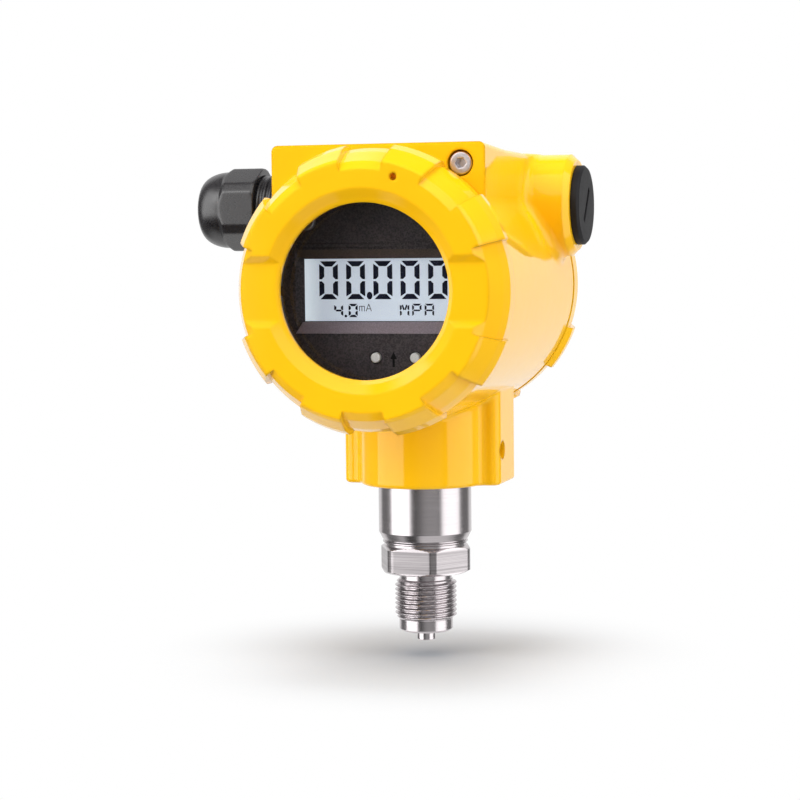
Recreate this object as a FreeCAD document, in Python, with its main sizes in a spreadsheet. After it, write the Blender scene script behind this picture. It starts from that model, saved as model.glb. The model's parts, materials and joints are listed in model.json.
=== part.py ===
import FreeCAD, Part
import math
import os

import Sketcher

# Pressure transmitter with a local display.
# Millimetres. The frame stands on the axis of the process thread: X and Y are zero there, Z is
# zero at the tip of the pressure port and points up, and the display looks along -Y.

SIZES = {
    # Process fitting, from the port tip upwards
    "port_radius": 1.6,
    "spigot_radius": 3.0,
    "spigot_length": 3.2,
    "tip_radius": 8.7,
    "tip_length": 3.9,
    "tip_chamfer": 0.7,
    "process_thread_radius": 10.0,
    "process_thread_length": 11.9,
    "process_thread_chamfer": 1.2,
    "relief_radius": 8.5,
    "relief_length": 3.4,
    "hex_height": 9.4,
    "hex_across_flats": 27.0,
    "hex_turn": 26.0,
    "hex_chamfer_width": 1.5,
    "hex_chamfer_height": 0.9,
    "bar_radius": 15.0,
    "mark_groove_radius": 13.5,
    "mark_groove_length": 3.0,
    "mark_line_rise": 0.75,
    "mark_line_pitch": 1.05,
    "mark_line_depth": 0.45,
    "mark_line_width": 0.5,
    "bar_taper": 1.4,
    "bar_length": 18.0,
    "shank_radius": 13.0,
    "lock_groove_depth": 1.3,
    "lock_groove_width": 6.4,
    "lock_rise": 8.0,
    "fitting_bore_radius": 10.5,
    "fitting_bore_depth": 31.0,
    "cell_radius": 8.9,
    "cell_height": 7.0,
    "cell_neck_radius": 6.0,
    "cell_neck_length": 5.4,
    "cell_seal_cord": 0.75,
    "cell_seal_ring": 7.0,
    "cell_ring_height": 3.6,
    "header_radius": 8.0,
    "board_thickness": 1.6,
    "lead_radius": 2.0,
    "neck_seal_cord": 0.8,
    "neck_seal_land": 1.95,
    "neck_seal_drop": 4.0,
    # Housing casting
    "drum_axis_height": 114.6,
    "drum_radius": 42.1,
    "front_depth": 48.4,
    "rear_depth": 34.0,
    "cavity_radius": 36.0,
    "cover_thread_radius": 38.5,
    "thread_depth": 12.0,
    "seat_depth": 2.6,
    "running_clearance": 0.05,
    "seat_clearance": 0.2,
    "upper_wall_depth": 34.4,
    "lower_wall_depth": 20.0,
    "wall": 4.0,
    "shelf_rise": 6.0,
    "chamber_half_width": 29.0,
    "chamber_rise": 38.5,
    "chamber_rear": 18.0,
    "block_half_width": 33.5,
    "block_rise": 43.9,
    "block_bend": 30.0,
    "block_bend_drop": 1.5,
    "block_rear_drop": 2.1,
    "block_corner": 2.0,
    "block_edge": 0.8,
    "entry_rise": 25.5,
    "entry_depth": 16.5,
    "entry_passage_radius": 7.0,
    "entry_passage_shift": 5.7,
    "boss_radius": 16.3,
    "boss_reach": 47.5,
    "boss_bevel": 1.9,
    "neck_half_width": 26.0,
    "neck_front": 5.0,
    "neck_rear": 18.0,
    "neck_bulge_radius": 20.8,
    "neck_seat_depth": 3.3,
    "neck_corner": 3.0,
    "neck_hollow": 3.0,
    "neck_edge": 1.2,
    "neck_root": 2.0,
    "wall_root": 6.0,
    "boss_root": 3.0,
    "casting_spare": 10.0,
    "set_screw_radius": 2.95,
    "set_screw_length": 9.0,
    "set_screw_tip_radius": 1.9,
    "set_screw_tip_length": 2.2,
    "set_screw_socket": 3.0,
    "lock_screw_head_radius": 3.5,
    "lock_screw_head_height": 4.0,
    "lock_screw_radius": 2.0,
    "lock_screw_length": 10.0,
    "lock_screw_socket": 3.0,
    "lock_screw_offset": 25.8,
    "lock_screw_rise": 37.6,
    "rear_screw_offset": 28.2,
    "rear_screw_rise": 35.8,
    "lock_screw_well_radius": 4.0,
    "lock_screw_well_depth": 4.5,
    # Screw-on covers
    "cover_radius": 43.8,
    "cover_height": 17.6,
    "cover_face_radius": 39.3,
    "cover_face_edge": 1.0,
    "cover_shoulder_radius": 42.6,
    "cover_shoulder_height": 10.5,
    "cover_ring_height": 6.6,
    "cover_ring_land": 3.4,
    "cover_foot_radius": 42.3,
    "cover_gap": 0.25,
    "bevel_radius": 30.3,
    "slot_floor_drop": 2.0,
    "window_bevel": 1.2,
    "window_radius": 26.2,
    "window_lip_drop": 2.5,
    "lip_thickness": 1.4,
    "skirt_length": 10.5,
    "skirt_edge": 0.5,
    "skirt_bore_radius": 35.3,
    "slot_half_width": 8.6,
    "slot_slope": 2.0,
    "notch_radius": 42.35,
    "notch_face_radius": 35.8,
    "notch_edge_radius": 38.3,
    "notch_edge_drop": 2.0,
    "notch_shoulder_radius": 41.2,
    "notch_shoulder_drop": 1.0,
    "notch_angle": 20.0,
    "seal_hole_radius": 1.1,
    "seal_hole_ring": 35.0,
    "seal_hole_angle": 73.0,
    "seal_hole_depth": 3.0,
    "cover_seal_cord": 0.95,
    "cover_seal_ring": 39.2,
    "blind_thickness": 4.5,
    # Window
    "glass_radius": 31.4,
    "glass_thickness": 6.0,
    "glass_edge": 0.5,
    "gasket_thickness": 0.8,
    "gasket_setback": 0.5,
    "retainer_radius": 33.0,
    "retainer_bore": 28.6,
    "retainer_height": 3.4,
    "retainer_notch": 3.0,
    # Display module
    "panel_drop": 4.9,
    "bezel_radius": 34.0,
    "bezel_height": 10.0,
    "bezel_plate": 5.0,
    "bezel_hollow_radius": 28.7,
    "lcd_half_width": 25.2,
    "lcd_half_height": 9.5,
    "lcd_bevel": 2.2,
    "lcd_drop": 2.5,
    "lcd_border": 1.5,
    "ledge_rise": 12.8,
    "ledge_pitch": 1.3,
    "ledge_width": 0.5,
    "ledge_depth": 0.5,
    "ledge_half_width": 27.0,
    "key_radius": 1.55,
    "key_clearance": 0.1,
    "key_proud": 0.6,
    "key_edge": 0.3,
    "key_flange_radius": 2.3,
    "key_flange_height": 0.8,
    "key_well_radius": 2.1,
    "key_well_depth": 0.5,
    "key_left": -1.9,
    "key_pitch": 12.4,
    "key_drop": 20.5,
    "key_travel": 0.5,
    "switch_size": 3.2,
    "switch_height": 1.1,
    "bezel_screw_ring": 31.2,
    "bezel_screw_angle": 138.0,
    "bezel_screw_radius": 1.3,
    "bezel_screw_head_radius": 2.6,
    "bezel_screw_head_height": 1.8,
    "standoff_radius": 2.4,
    "standoff_height": 4.1,
    # Electronics
    "module_radius": 33.0,
    "module_leg_half_width": 12.0,
    "module_leg_top": 8.0,
    "module_leg_bottom": 26.0,
    "module_screw_ring": 27.5,
    "module_screw_angle": 60.0,
    "module_screw_radius": 1.5,
    "module_screw_head_radius": 2.8,
    "module_screw_head_height": 2.0,
    "module_screw_bite": 3.0,
    "socket_radius": 4.5,
    "socket_height": 4.0,
    "socket_overlap": 2.0,
    "feedthrough_radius": 5.0,
    "feedthrough_drop": 13.0,
    "feedthrough_pin_radius": 0.6,
    "feedthrough_pin_pitch": 2.6,
    "feedthrough_pin_length": 1.6,
    "feedthrough_neck": 2.5,
    # Terminal side
    "terminal_half_width": 25.0,
    "terminal_top": 3.0,
    "terminal_bottom": 24.0,
    "terminal_depth": 6.0,
    "terminal_step": 4.0,
    "terminal_step_top": 1.5,
    "terminal_step_bottom": 9.5,
    "terminal_pitch": 12.0,
    "terminal_row_drop": 4.0,
    "terminal_screw_radius": 1.9,
    "terminal_head_radius": 3.0,
    "terminal_head_height": 2.2,
    "terminal_clamp_size": 7.6,
    "terminal_clamp_thickness": 1.0,
    "terminal_fix_drop": 18.0,
    "terminal_fix_offset": 17.0,
    "terminal_fix_radius": 1.5,
    "terminal_fix_head_radius": 2.8,
    "terminal_fix_bite": 3.0,
    "ground_offset": 15.0,
    "ground_rise": 16.5,
    "ground_screw_radius": 2.0,
    "ground_head_radius": 3.8,
    "ground_head_height": 2.6,
    "ground_washer_radius": 4.6,
    "ground_washer_thickness": 1.0,
    "ground_screw_bite": 3.0,
    # Cable gland
    "entry_thread_radius": 10.0,
    "entry_thread_length": 10.0,
    "entry_thread_room": 1.5,
    "gland_hex_across_flats": 25.6,
    "gland_hex_corner": 14.2,
    "gland_hex_length": 4.6,
    "gland_ridge_radius": 11.3,
    "gland_ridge_depth": 0.7,
    "gland_ridge_pitch": 2.1,
    "gland_ridge_count": 4,
    "gland_neck_length": 24.8,
    "gland_bore_radius": 7.0,
    "gland_washer_thickness": 0.9,
    "gland_washer_radius": 12.6,
    "clamp_outer": 9.9,
    "clamp_inner": 8.4,
    "clamp_length": 6.0,
    "clamp_slot": 1.4,
    "gland_seal_bore": 4.5,
    "gland_seal_length": 11.0,
    "nut_gap": 6.4,
    "nut_length": 20.9,
    "nut_across_flats": 25.6,
    "nut_corner_radius": 13.9,
    "nut_flat_length": 11.4,
    "nut_dome_radius": 8.6,
    "nut_mouth_radius": 6.6,
    "nut_mouth_wall": 2.2,
    # Blanking plug
    "plug_head_radius": 12.7,
    "plug_edge": 0.8,
    "plug_head_height": 2.8,
    "plug_core_radius": 7.0,
    "plug_slot_width": 2.0,
    "plug_slot_length": 13.0,
    "plug_slot_depth": 1.4,
    "plug_seal_cord": 0.7,
    "plug_seal_ring": 10.9,
}

doc = FreeCAD.newDocument("pressure_transmitter")
sheet = doc.addObject("Spreadsheet::Sheet", "sizes")
for row, (alias, number) in enumerate(SIZES.items(), 1):
    sheet.set(f"A{row}", alias.replace("_", " "))
    sheet.set(f"B{row}", str(number))
    sheet.setAlias(f"B{row}", alias)
doc.recompute()


class Size:
    """A worked-out size: its value, and the expression on the sheet that gives it."""

    def __init__(self, value, text):
        self.value = float(value)
        self.text = text

    def __add__(self, other):
        other = as_size(other)
        return Size(self.value + other.value, f"({self.text} + {other.text})")

    def __sub__(self, other):
        other = as_size(other)
        return Size(self.value - other.value, f"({self.text} - {other.text})")

    def __mul__(self, other):
        other = as_size(other)
        return Size(self.value * other.value, f"({self.text} * {other.text})")

    def __truediv__(self, other):
        other = as_size(other)
        return Size(self.value / other.value, f"({self.text} / {other.text})")

    def __neg__(self):
        return Size(-self.value, f"(0 - {self.text})")

    def __radd__(self, other):
        return as_size(other) + self

    def __rsub__(self, other):
        return as_size(other) - self

    def __rmul__(self, other):
        return as_size(other) * self


def as_size(number):
    return number if isinstance(number, Size) else Size(number, repr(float(number)))


def cosine(angle):
    return Size(math.cos(math.radians(angle.value)), f"cos({angle.text})")


def sine(angle):
    return Size(math.sin(math.radians(angle.value)), f"sin({angle.text})")


class Sheet:
    """Reads a size from the sheet by its name."""

    def __getattr__(self, alias):
        return Size(sheet.get(alias), f"sizes.{alias}")


S = Sheet()
ZERO = as_size(0)
pieces = []


class Place:
    """Where a piece's own axis starts and which way it points."""

    def __init__(self, base=(ZERO, ZERO, ZERO), turn_axis=(0, 0, 1), turn=0):
        self.base = [as_size(part) for part in base]
        self.rotation = FreeCAD.Rotation(FreeCAD.Vector(*turn_axis), turn)


class Piece:
    """One solid of the part, built from sketches that are tied to the sheet."""

    def __init__(self, name, place=None):
        self.body = doc.addObject("PartDesign::Body", name + "_body")
        self.body.Label = name
        self.body.AllowCompound = True
        self.name = name
        self.count = 0
        place = place or Place()
        base = FreeCAD.Vector(*[part.value for part in place.base])
        self.body.Placement = FreeCAD.Placement(base, place.rotation)
        for axis, part in zip("xyz", place.base):
            self.body.setExpression(f"Placement.Base.{axis}", part.text)
        pieces.append(self)

    def plane(self, role):
        return next(item for item in self.body.Origin.OriginFeatures if item.Role == role)

    def feature(self, kind, word):
        self.count += 1
        return self.body.newObject(kind, f"{self.name}_{word}_{self.count}")

    def sketch(self, role, offset=None, swing=None, lift=None):
        """An empty sketch on an origin plane, moved along its normal, swung or lifted."""
        sketch = self.feature("Sketcher::SketchObject", "sketch")
        sketch.AttachmentSupport = [(self.plane(role), "")]
        sketch.MapMode = "FlatFace"
        if swing is not None:
            turn = FreeCAD.Rotation(FreeCAD.Vector(0, 1, 0), swing)
            sketch.AttachmentOffset = FreeCAD.Placement(FreeCAD.Vector(0, 0, 0), turn)
        if offset is not None:
            sketch.setExpression("AttachmentOffset.Base.z", as_size(offset).text)
        if lift is not None:
            sketch.setExpression("AttachmentOffset.Base.y", as_size(lift).text)
        return sketch

    def tie(self, sketch, geometry, corner, x, y):
        """Holds one corner or centre at its distances from the sketch's origin."""
        for kind, size in (("DistanceX", x), ("DistanceY", y)):
            size = as_size(size)
            index = sketch.addConstraint(
                Sketcher.Constraint(kind, -1, 1, geometry, corner, size.value))
            sketch.setExpression(f"Constraints[{index}]", size.text)

    def outline(self, role, corners, offset=None, swing=None):
        """A closed outline of straight sides through the corners."""
        sketch = self.sketch(role, offset, swing)
        self.add_loop(sketch, corners)
        return sketch

    def add_loop(self, sketch, corners):
        first = sketch.GeometryCount
        corners = [(as_size(x), as_size(y)) for x, y in corners]
        points = [FreeCAD.Vector(x.value, y.value, 0) for x, y in corners]
        count = len(points)
        for i in range(count):
            sketch.addGeometry(Part.LineSegment(points[i], points[(i + 1) % count]), False)
        for i in range(count):
            following = first + (i + 1) % count
            sketch.addConstraint(Sketcher.Constraint("Coincident", first + i, 2, following, 1))
            self.tie(sketch, first + i, 1, *corners[i])

    def box_outline(self, role, left, right, bottom, top, offset=None):
        return self.outline(role, [(left, bottom), (right, bottom), (right, top), (left, top)], offset)

    def circles(self, role, centres, radius, offset=None):
        """Circles of one radius about the centres."""
        sketch = self.sketch(role, offset)
        for x, y in centres:
            self.add_circle(sketch, x, y, radius)
        return sketch

    def add_circle(self, sketch, x, y, radius):
        x, y, radius = as_size(x), as_size(y), as_size(radius)
        index = sketch.GeometryCount
        centre = FreeCAD.Vector(x.value, y.value, 0)
        sketch.addGeometry(Part.Circle(centre, FreeCAD.Vector(0, 0, 1), radius.value), False)
        self.tie(sketch, index, 3, x, y)
        held = sketch.addConstraint(Sketcher.Constraint("Radius", index, radius.value))
        sketch.setExpression(f"Constraints[{held}]", radius.text)

    def circle(self, role, radius, offset=None, x=ZERO, y=ZERO):
        return self.circles(role, [(x, y)], radius, offset)

    def ring(self, role, outer, inner, offset=None):
        sketch = self.circle(role, outer, offset)
        self.add_circle(sketch, ZERO, ZERO, inner)
        return sketch

    def extrude(self, kind, sketch, length, back=False, both=False):
        feature = self.feature("PartDesign::" + kind, kind.lower())
        feature.Profile = sketch
        feature.Length = as_size(length).value
        feature.setExpression("Length", as_size(length).text)
        feature.Reversed = back
        feature.SideType = "Symmetric" if both else "One side"
        sketch.Visibility = False
        return feature

    def pad(self, sketch, length, back=False, both=False):
        return self.extrude("Pad", sketch, length, back, both)

    def pocket(self, sketch, length, back=False, both=False):
        """A pocket, which has to take something away."""
        doc.recompute()
        before = self.body.Shape.Volume
        feature = self.extrude("Pocket", sketch, length, back, both)
        doc.recompute()
        if self.body.Shape.Volume > before - 1e-6:
            raise RuntimeError(f"{self.name}: {feature.Name} cuts nothing")
        return feature

    def turned(self, corners, role="XZ_Plane"):
        """A full turn of a half outline, given as radius and height."""
        sketch = self.outline(role, corners)
        feature = self.feature("PartDesign::Revolution", "turned")
        feature.Profile = sketch
        feature.ReferenceAxis = (sketch, ["V_Axis"])
        feature.Angle = 360
        return feature

    def turned_circle(self, ring, height, cord):
        """A round cord bent to a ring."""
        sketch = self.sketch("XZ_Plane")
        self.add_circle(sketch, ring, height, cord)
        feature = self.feature("PartDesign::Revolution", "cord")
        feature.Profile = sketch
        feature.ReferenceAxis = (sketch, ["V_Axis"])
        feature.Angle = 360
        return feature

    def sector_cut(self, corners, start, span, count, sweep):
        """Cuts a turned outline over a sector, repeated over the sweep."""
        sketch = self.outline("XZ_Plane", corners, swing=start)
        feature = self.feature("PartDesign::Groove", "notch")
        feature.Profile = sketch
        feature.ReferenceAxis = (sketch, ["V_Axis"])
        feature.Midplane = True
        feature.setExpression("Angle", as_size(span).text)
        return self.around(feature, count, sweep)

    def around(self, feature, count, sweep=360):
        """Repeats a feature about the piece's own upright axis."""
        doc.recompute()
        before = self.body.Shape.Volume
        pattern = self.feature("PartDesign::PolarPattern", "pattern")
        pattern.Originals = [feature]
        pattern.Axis = (self.plane("Z_Axis"), [""])
        pattern.Angle = sweep
        pattern.Occurrences = count
        self.body.Tip = pattern
        doc.recompute()
        if abs(self.body.Shape.Volume - before) < 1e-6:
            raise RuntimeError(f"{self.name}: {pattern.Name} adds nothing")
        return pattern

    def edges(self, test):
        """Names of the edges whose ends and middle all pass the test."""
        doc.recompute()
        shape = self.body.Tip.Shape
        found = []
        for index, edge in enumerate(shape.Edges, 1):
            middle = edge.valueAt((edge.FirstParameter + edge.LastParameter) / 2)
            points = [vertex.Point for vertex in edge.Vertexes] + [middle]
            if all(test(point) for point in points):
                found.append(f"Edge{index}")
        return found

    def dress(self, kind, size, test):
        """A fillet or chamfer on the edges that pass the test."""
        names = self.edges(test)
        if not names:
            raise RuntimeError(f"{self.name}: no edge for the {kind}")
        base = self.body.Tip
        feature = self.feature("PartDesign::" + kind, kind.lower())
        feature.Base = (base, names)
        feature.setExpression("Radius" if kind == "Fillet" else "Size", as_size(size).text)
        doc.recompute()
        return feature


def near(a, b, tolerance=0.01):
    return abs(a - b) < tolerance


def square(width, x=ZERO, y=ZERO):
    """Corners of a square about a point."""
    half = as_size(width) / 2
    return [(x - half, y - half), (x + half, y - half), (x + half, y + half), (x - half, y + half)]


# Heights on the process fitting
tip_start = S.spigot_length
thread_start = tip_start + S.tip_length
relief_start = thread_start + S.process_thread_length
hex_start = relief_start + S.relief_length
hex_end = hex_start + S.hex_height
bar_start = hex_end + S.mark_groove_length
bar_end = bar_start + S.bar_length + S.bar_taper
lock_height = bar_end + S.lock_rise
neck_seal_height = (lock_height + S.lock_groove_width / 2 + S.neck_seal_land + S.neck_seal_cord
                    + S.running_clearance)
shank_end = neck_seal_height + S.neck_seal_drop
cell_seat = shank_end - S.fitting_bore_depth - S.cell_height - 2 * S.cell_seal_cord
cell_base = cell_seat + 2 * S.cell_seal_cord
cell_shoulder = cell_base + S.cell_height
header_base = cell_shoulder + S.cell_neck_length
lead_start = header_base + S.board_thickness
socket_top = S.drum_axis_height - S.module_leg_bottom
lead_end = socket_top - S.socket_height + S.socket_overlap

# Radii and places that fit one piece to another
neck_bottom = bar_end + S.seat_clearance - S.neck_seat_depth
mouth_radius = S.cover_thread_radius + S.running_clearance
neck_bore_radius = S.shank_radius + S.running_clearance
entry_height = S.drum_axis_height + S.entry_rise
boss_top = entry_height + S.boss_radius
block_top = S.drum_axis_height + S.block_rise
entry_bore_radius = S.entry_thread_radius + S.running_clearance
lip_height = S.cover_height - S.window_lip_drop
glass_top = lip_height - S.lip_thickness - S.gasket_thickness
glass_bottom = glass_top - S.glass_thickness
panel_height = -S.panel_drop
lcd_height = panel_height - S.lcd_drop
plate_back = panel_height - S.bezel_plate
bezel_back = panel_height - S.bezel_height
module_front = bezel_back - S.standoff_height
key_foot = plate_back + S.switch_height + S.key_travel + S.running_clearance
key_shoulder = key_foot + S.key_flange_height
leg_end = S.lower_wall_depth - S.front_depth - S.rear_depth + S.feedthrough_neck + S.seat_clearance

FRONT = Place((ZERO, -S.front_depth, S.drum_axis_height), (1, 0, 0), 90)
REAR = Place((ZERO, S.rear_depth, S.drum_axis_height), (1, 0, 0), -90)
LEFT = Place((-S.boss_reach, S.entry_depth, entry_height), (0, 1, 0), -90)
RIGHT = Place((S.boss_reach, S.entry_depth, entry_height), (0, 1, 0), 90)


def process_fitting():
    """Stainless fitting: port spigot, process thread, hexagon milled on a round bar, and shank."""
    piece = Piece("process_fitting")
    chamfer = S.process_thread_chamfer
    line = S.mark_line_width
    line_low = hex_end + S.mark_line_rise
    line_high = line_low + S.mark_line_pitch
    groove = S.mark_groove_radius
    groove_floor = groove - S.mark_line_depth
    shank_floor = S.shank_radius - S.lock_groove_depth
    half_lock = S.lock_groove_width / 2
    seal_floor = S.shank_radius - 2 * S.neck_seal_cord - S.running_clearance
    half_seal = S.neck_seal_cord + S.running_clearance
    piece.turned([
        (S.port_radius, ZERO),
        (S.spigot_radius, ZERO),
        (S.spigot_radius, tip_start),
        (S.tip_radius - S.tip_chamfer, tip_start),
        (S.tip_radius, tip_start + S.tip_chamfer),
        (S.tip_radius, thread_start),
        (S.process_thread_radius, thread_start + chamfer),
        (S.process_thread_radius, relief_start),
        (S.relief_radius, relief_start + chamfer),
        (S.relief_radius, hex_start),
        (S.bar_radius - S.hex_chamfer_width, hex_start),
        (S.bar_radius, hex_start + S.hex_chamfer_height),
        (S.bar_radius, hex_end - S.hex_chamfer_height),
        (S.bar_radius - S.hex_chamfer_width, hex_end),
        (groove, hex_end + line / 4),
        (groove, line_low - line / 2),
        (groove_floor, line_low),
        (groove, line_low + line / 2),
        (groove, line_high - line / 2),
        (groove_floor, line_high),
        (groove, line_high + line / 2),
        (groove, bar_start),
        (S.bar_radius, bar_start + S.bar_taper),
        (S.bar_radius, bar_end),
        (S.shank_radius, bar_end),
        (S.shank_radius, lock_height - half_lock),
        (shank_floor, lock_height - half_lock),
        (shank_floor, lock_height + half_lock),
        (S.shank_radius, lock_height + half_lock),
        (S.shank_radius, neck_seal_height - half_seal),
        (seal_floor, neck_seal_height - half_seal),
        (seal_floor, neck_seal_height + half_seal),
        (S.shank_radius, neck_seal_height + half_seal),
        (S.shank_radius, shank_end),
        (S.fitting_bore_radius, shank_end),
        (S.fitting_bore_radius, shank_end - S.fitting_bore_depth),
        (S.cell_radius + S.running_clearance, shank_end - S.fitting_bore_depth),
        (S.cell_radius + S.running_clearance, cell_seat),
        (S.port_radius, cell_seat),
    ])
    mill_flats(piece, S.hex_across_flats, S.bar_radius, hex_start, S.hex_height, S.hex_turn)
    return piece


def mill_flats(piece, across_flats, radius, start, length, turn=ZERO):
    """Mills six flats along part of a turned piece, the first one facing the given angle."""
    flat, outside = across_flats / 2, 2 * radius
    corners = [(flat, -outside), (outside, -outside), (outside, outside), (flat, outside)]
    turned = [(x * cosine(turn) - y * sine(turn), x * sine(turn) + y * cosine(turn)) for x, y in corners]
    side = piece.outline("XY_Plane", turned, offset=start)
    return piece.around(piece.pocket(side, length, back=True), 6)


def fitting_inside():
    """What the fitting holds: seal, pressure cell, retaining ring, header board and its lead."""
    seal = Piece("cell_seal")
    seal.turned_circle(S.cell_seal_ring, cell_seat + S.cell_seal_cord, S.cell_seal_cord)

    cell = Piece("pressure_cell")
    cell.turned([
        (ZERO, cell_base),
        (S.cell_radius, cell_base),
        (S.cell_radius, cell_shoulder),
        (S.cell_neck_radius, cell_shoulder),
        (S.cell_neck_radius, header_base),
        (ZERO, header_base),
    ])

    ring = Piece("cell_retaining_ring")
    bore = S.cell_neck_radius + 2 * S.running_clearance
    rim = S.fitting_bore_radius - S.running_clearance
    ring.pad(ring.ring("XY_Plane", rim, bore, offset=cell_shoulder), S.cell_ring_height)
    top = cell_shoulder + S.cell_ring_height
    slots = ring.outline("XY_Plane", square(S.cell_ring_height / 2, x=rim), offset=top)
    ring.around(ring.pocket(slots, S.cell_ring_height / 2), 4)

    board = Piece("header_board")
    board.pad(board.circle("XY_Plane", S.header_radius, offset=header_base), S.board_thickness)

    lead = Piece("sensor_lead")
    lead.pad(lead.circle("XY_Plane", S.lead_radius, offset=lead_start), lead_end - lead_start)

    neck_seal = Piece("neck_seal")
    centre = S.shank_radius - S.neck_seal_cord
    neck_seal.turned_circle(centre, neck_seal_height, S.neck_seal_cord)


def on_drum(point):
    rise = point.z - S.drum_axis_height.value
    return near(math.hypot(point.x, rise), S.drum_radius.value, 0.02)


def on_boss(point):
    away = math.hypot(point.y - S.entry_depth.value, point.z - entry_height.value)
    return near(away, S.boss_radius.value, 0.02)


def on_wall(point):
    return near(abs(point.x), S.block_half_width.value)


def neck_form(piece):
    """Neck block with its round front, carried up to the drum's axis, and its rounded edges."""
    rise = S.drum_axis_height - neck_bottom
    side, front, rear = S.neck_half_width, S.neck_front, S.neck_rear
    piece.pad(piece.box_outline("XY_Plane", -side, side, -front, rear, offset=neck_bottom), rise)
    piece.pad(piece.circle("XY_Plane", S.neck_bulge_radius, offset=neck_bottom), rise)
    for depth in (-front.value, rear.value):
        meet = math.sqrt(S.neck_bulge_radius.value ** 2 - depth ** 2)
        piece.dress("Fillet", S.neck_hollow, lambda p: near(p.y, depth) and near(abs(p.x), meet, 0.05))
    for depth in (-front.value, rear.value):
        piece.dress("Fillet", S.neck_corner, lambda p: near(abs(p.x), side.value) and near(p.y, depth))
    piece.dress("Fillet", S.neck_edge, lambda p: near(p.z, neck_bottom.value))


def boss_forms(piece):
    """The two cable bosses on one axis, blended into the drum and block, then cut to length."""
    axis = {"x": S.entry_depth, "y": entry_height}
    overlong = S.boss_reach + S.casting_spare
    piece.pad(piece.circle("YZ_Plane", S.boss_radius, **axis), 2 * overlong, both=True)
    piece.dress("Fillet", S.boss_root, lambda p: on_boss(p) and abs(p.x) < overlong.value - 1)
    for offset, back in ((S.boss_reach, True), (-S.boss_reach, False)):
        piece.pocket(piece.circle("YZ_Plane", 2 * S.boss_radius, offset, **axis), S.casting_spare, back)
    bevels = piece.sketch("XZ_Plane", -S.entry_depth, lift=entry_height)
    for side in (-1, 1):
        start, end = side * (S.boss_reach - S.boss_bevel), side * S.boss_reach
        piece.add_loop(bevels, [
            (start, S.boss_radius),
            (end, S.boss_radius - S.boss_bevel),
            (end, S.boss_radius + S.boss_bevel),
            (start, S.boss_radius + S.boss_bevel),
        ])
    cut = piece.feature("PartDesign::Groove", "bevels")
    cut.Profile = bevels
    cut.ReferenceAxis = (bevels, ["H_Axis"])
    cut.Angle = 360


def cast_outside(piece):
    """Outer form of the casting: rounded while it is overlong, then cut to its ends and its roof."""
    axis, front, rear = S.drum_axis_height, S.front_depth, S.rear_depth
    end, high = rear + S.casting_spare, block_top + S.casting_spare
    neck_form(piece)
    block = piece.outline("YZ_Plane", [(-front, axis), (end, axis), (end, high), (-front, high)])
    piece.pad(block, 2 * S.block_half_width, both=True)
    piece.pad(piece.circle("XZ_Plane", S.drum_radius, offset=front, y=axis), front + end, back=True)
    piece.dress("Fillet", S.wall_root, lambda p: on_wall(p) and on_drum(p))
    boss_forms(piece)
    under = (axis - S.drum_radius / 2).value
    reach = (S.neck_bulge_radius + S.neck_root).value
    piece.dress("Fillet", S.neck_root, lambda p: on_drum(p) and p.z < under and abs(p.y) < reach)
    rear_cut = piece.circle("XZ_Plane", 2 * S.boss_reach, offset=-rear, y=axis)
    piece.pocket(rear_cut, S.casting_spare)
    spare = S.casting_spare
    roof = piece.outline("YZ_Plane", [
        (-front - spare, block_top),
        (-front, block_top),
        (S.block_bend - front, block_top - S.block_bend_drop),
        (rear, block_top - S.block_rear_drop),
        (rear + spare, block_top - S.block_rear_drop),
        (rear + spare, high + spare),
        (-front - spare, high + spare),
    ])
    piece.pocket(roof, 2 * S.boss_reach, both=True)
    high_up = (block_top - S.block_rear_drop - S.block_corner).value
    piece.dress("Fillet", S.block_corner, lambda p: on_wall(p) and p.z > high_up)


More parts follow.
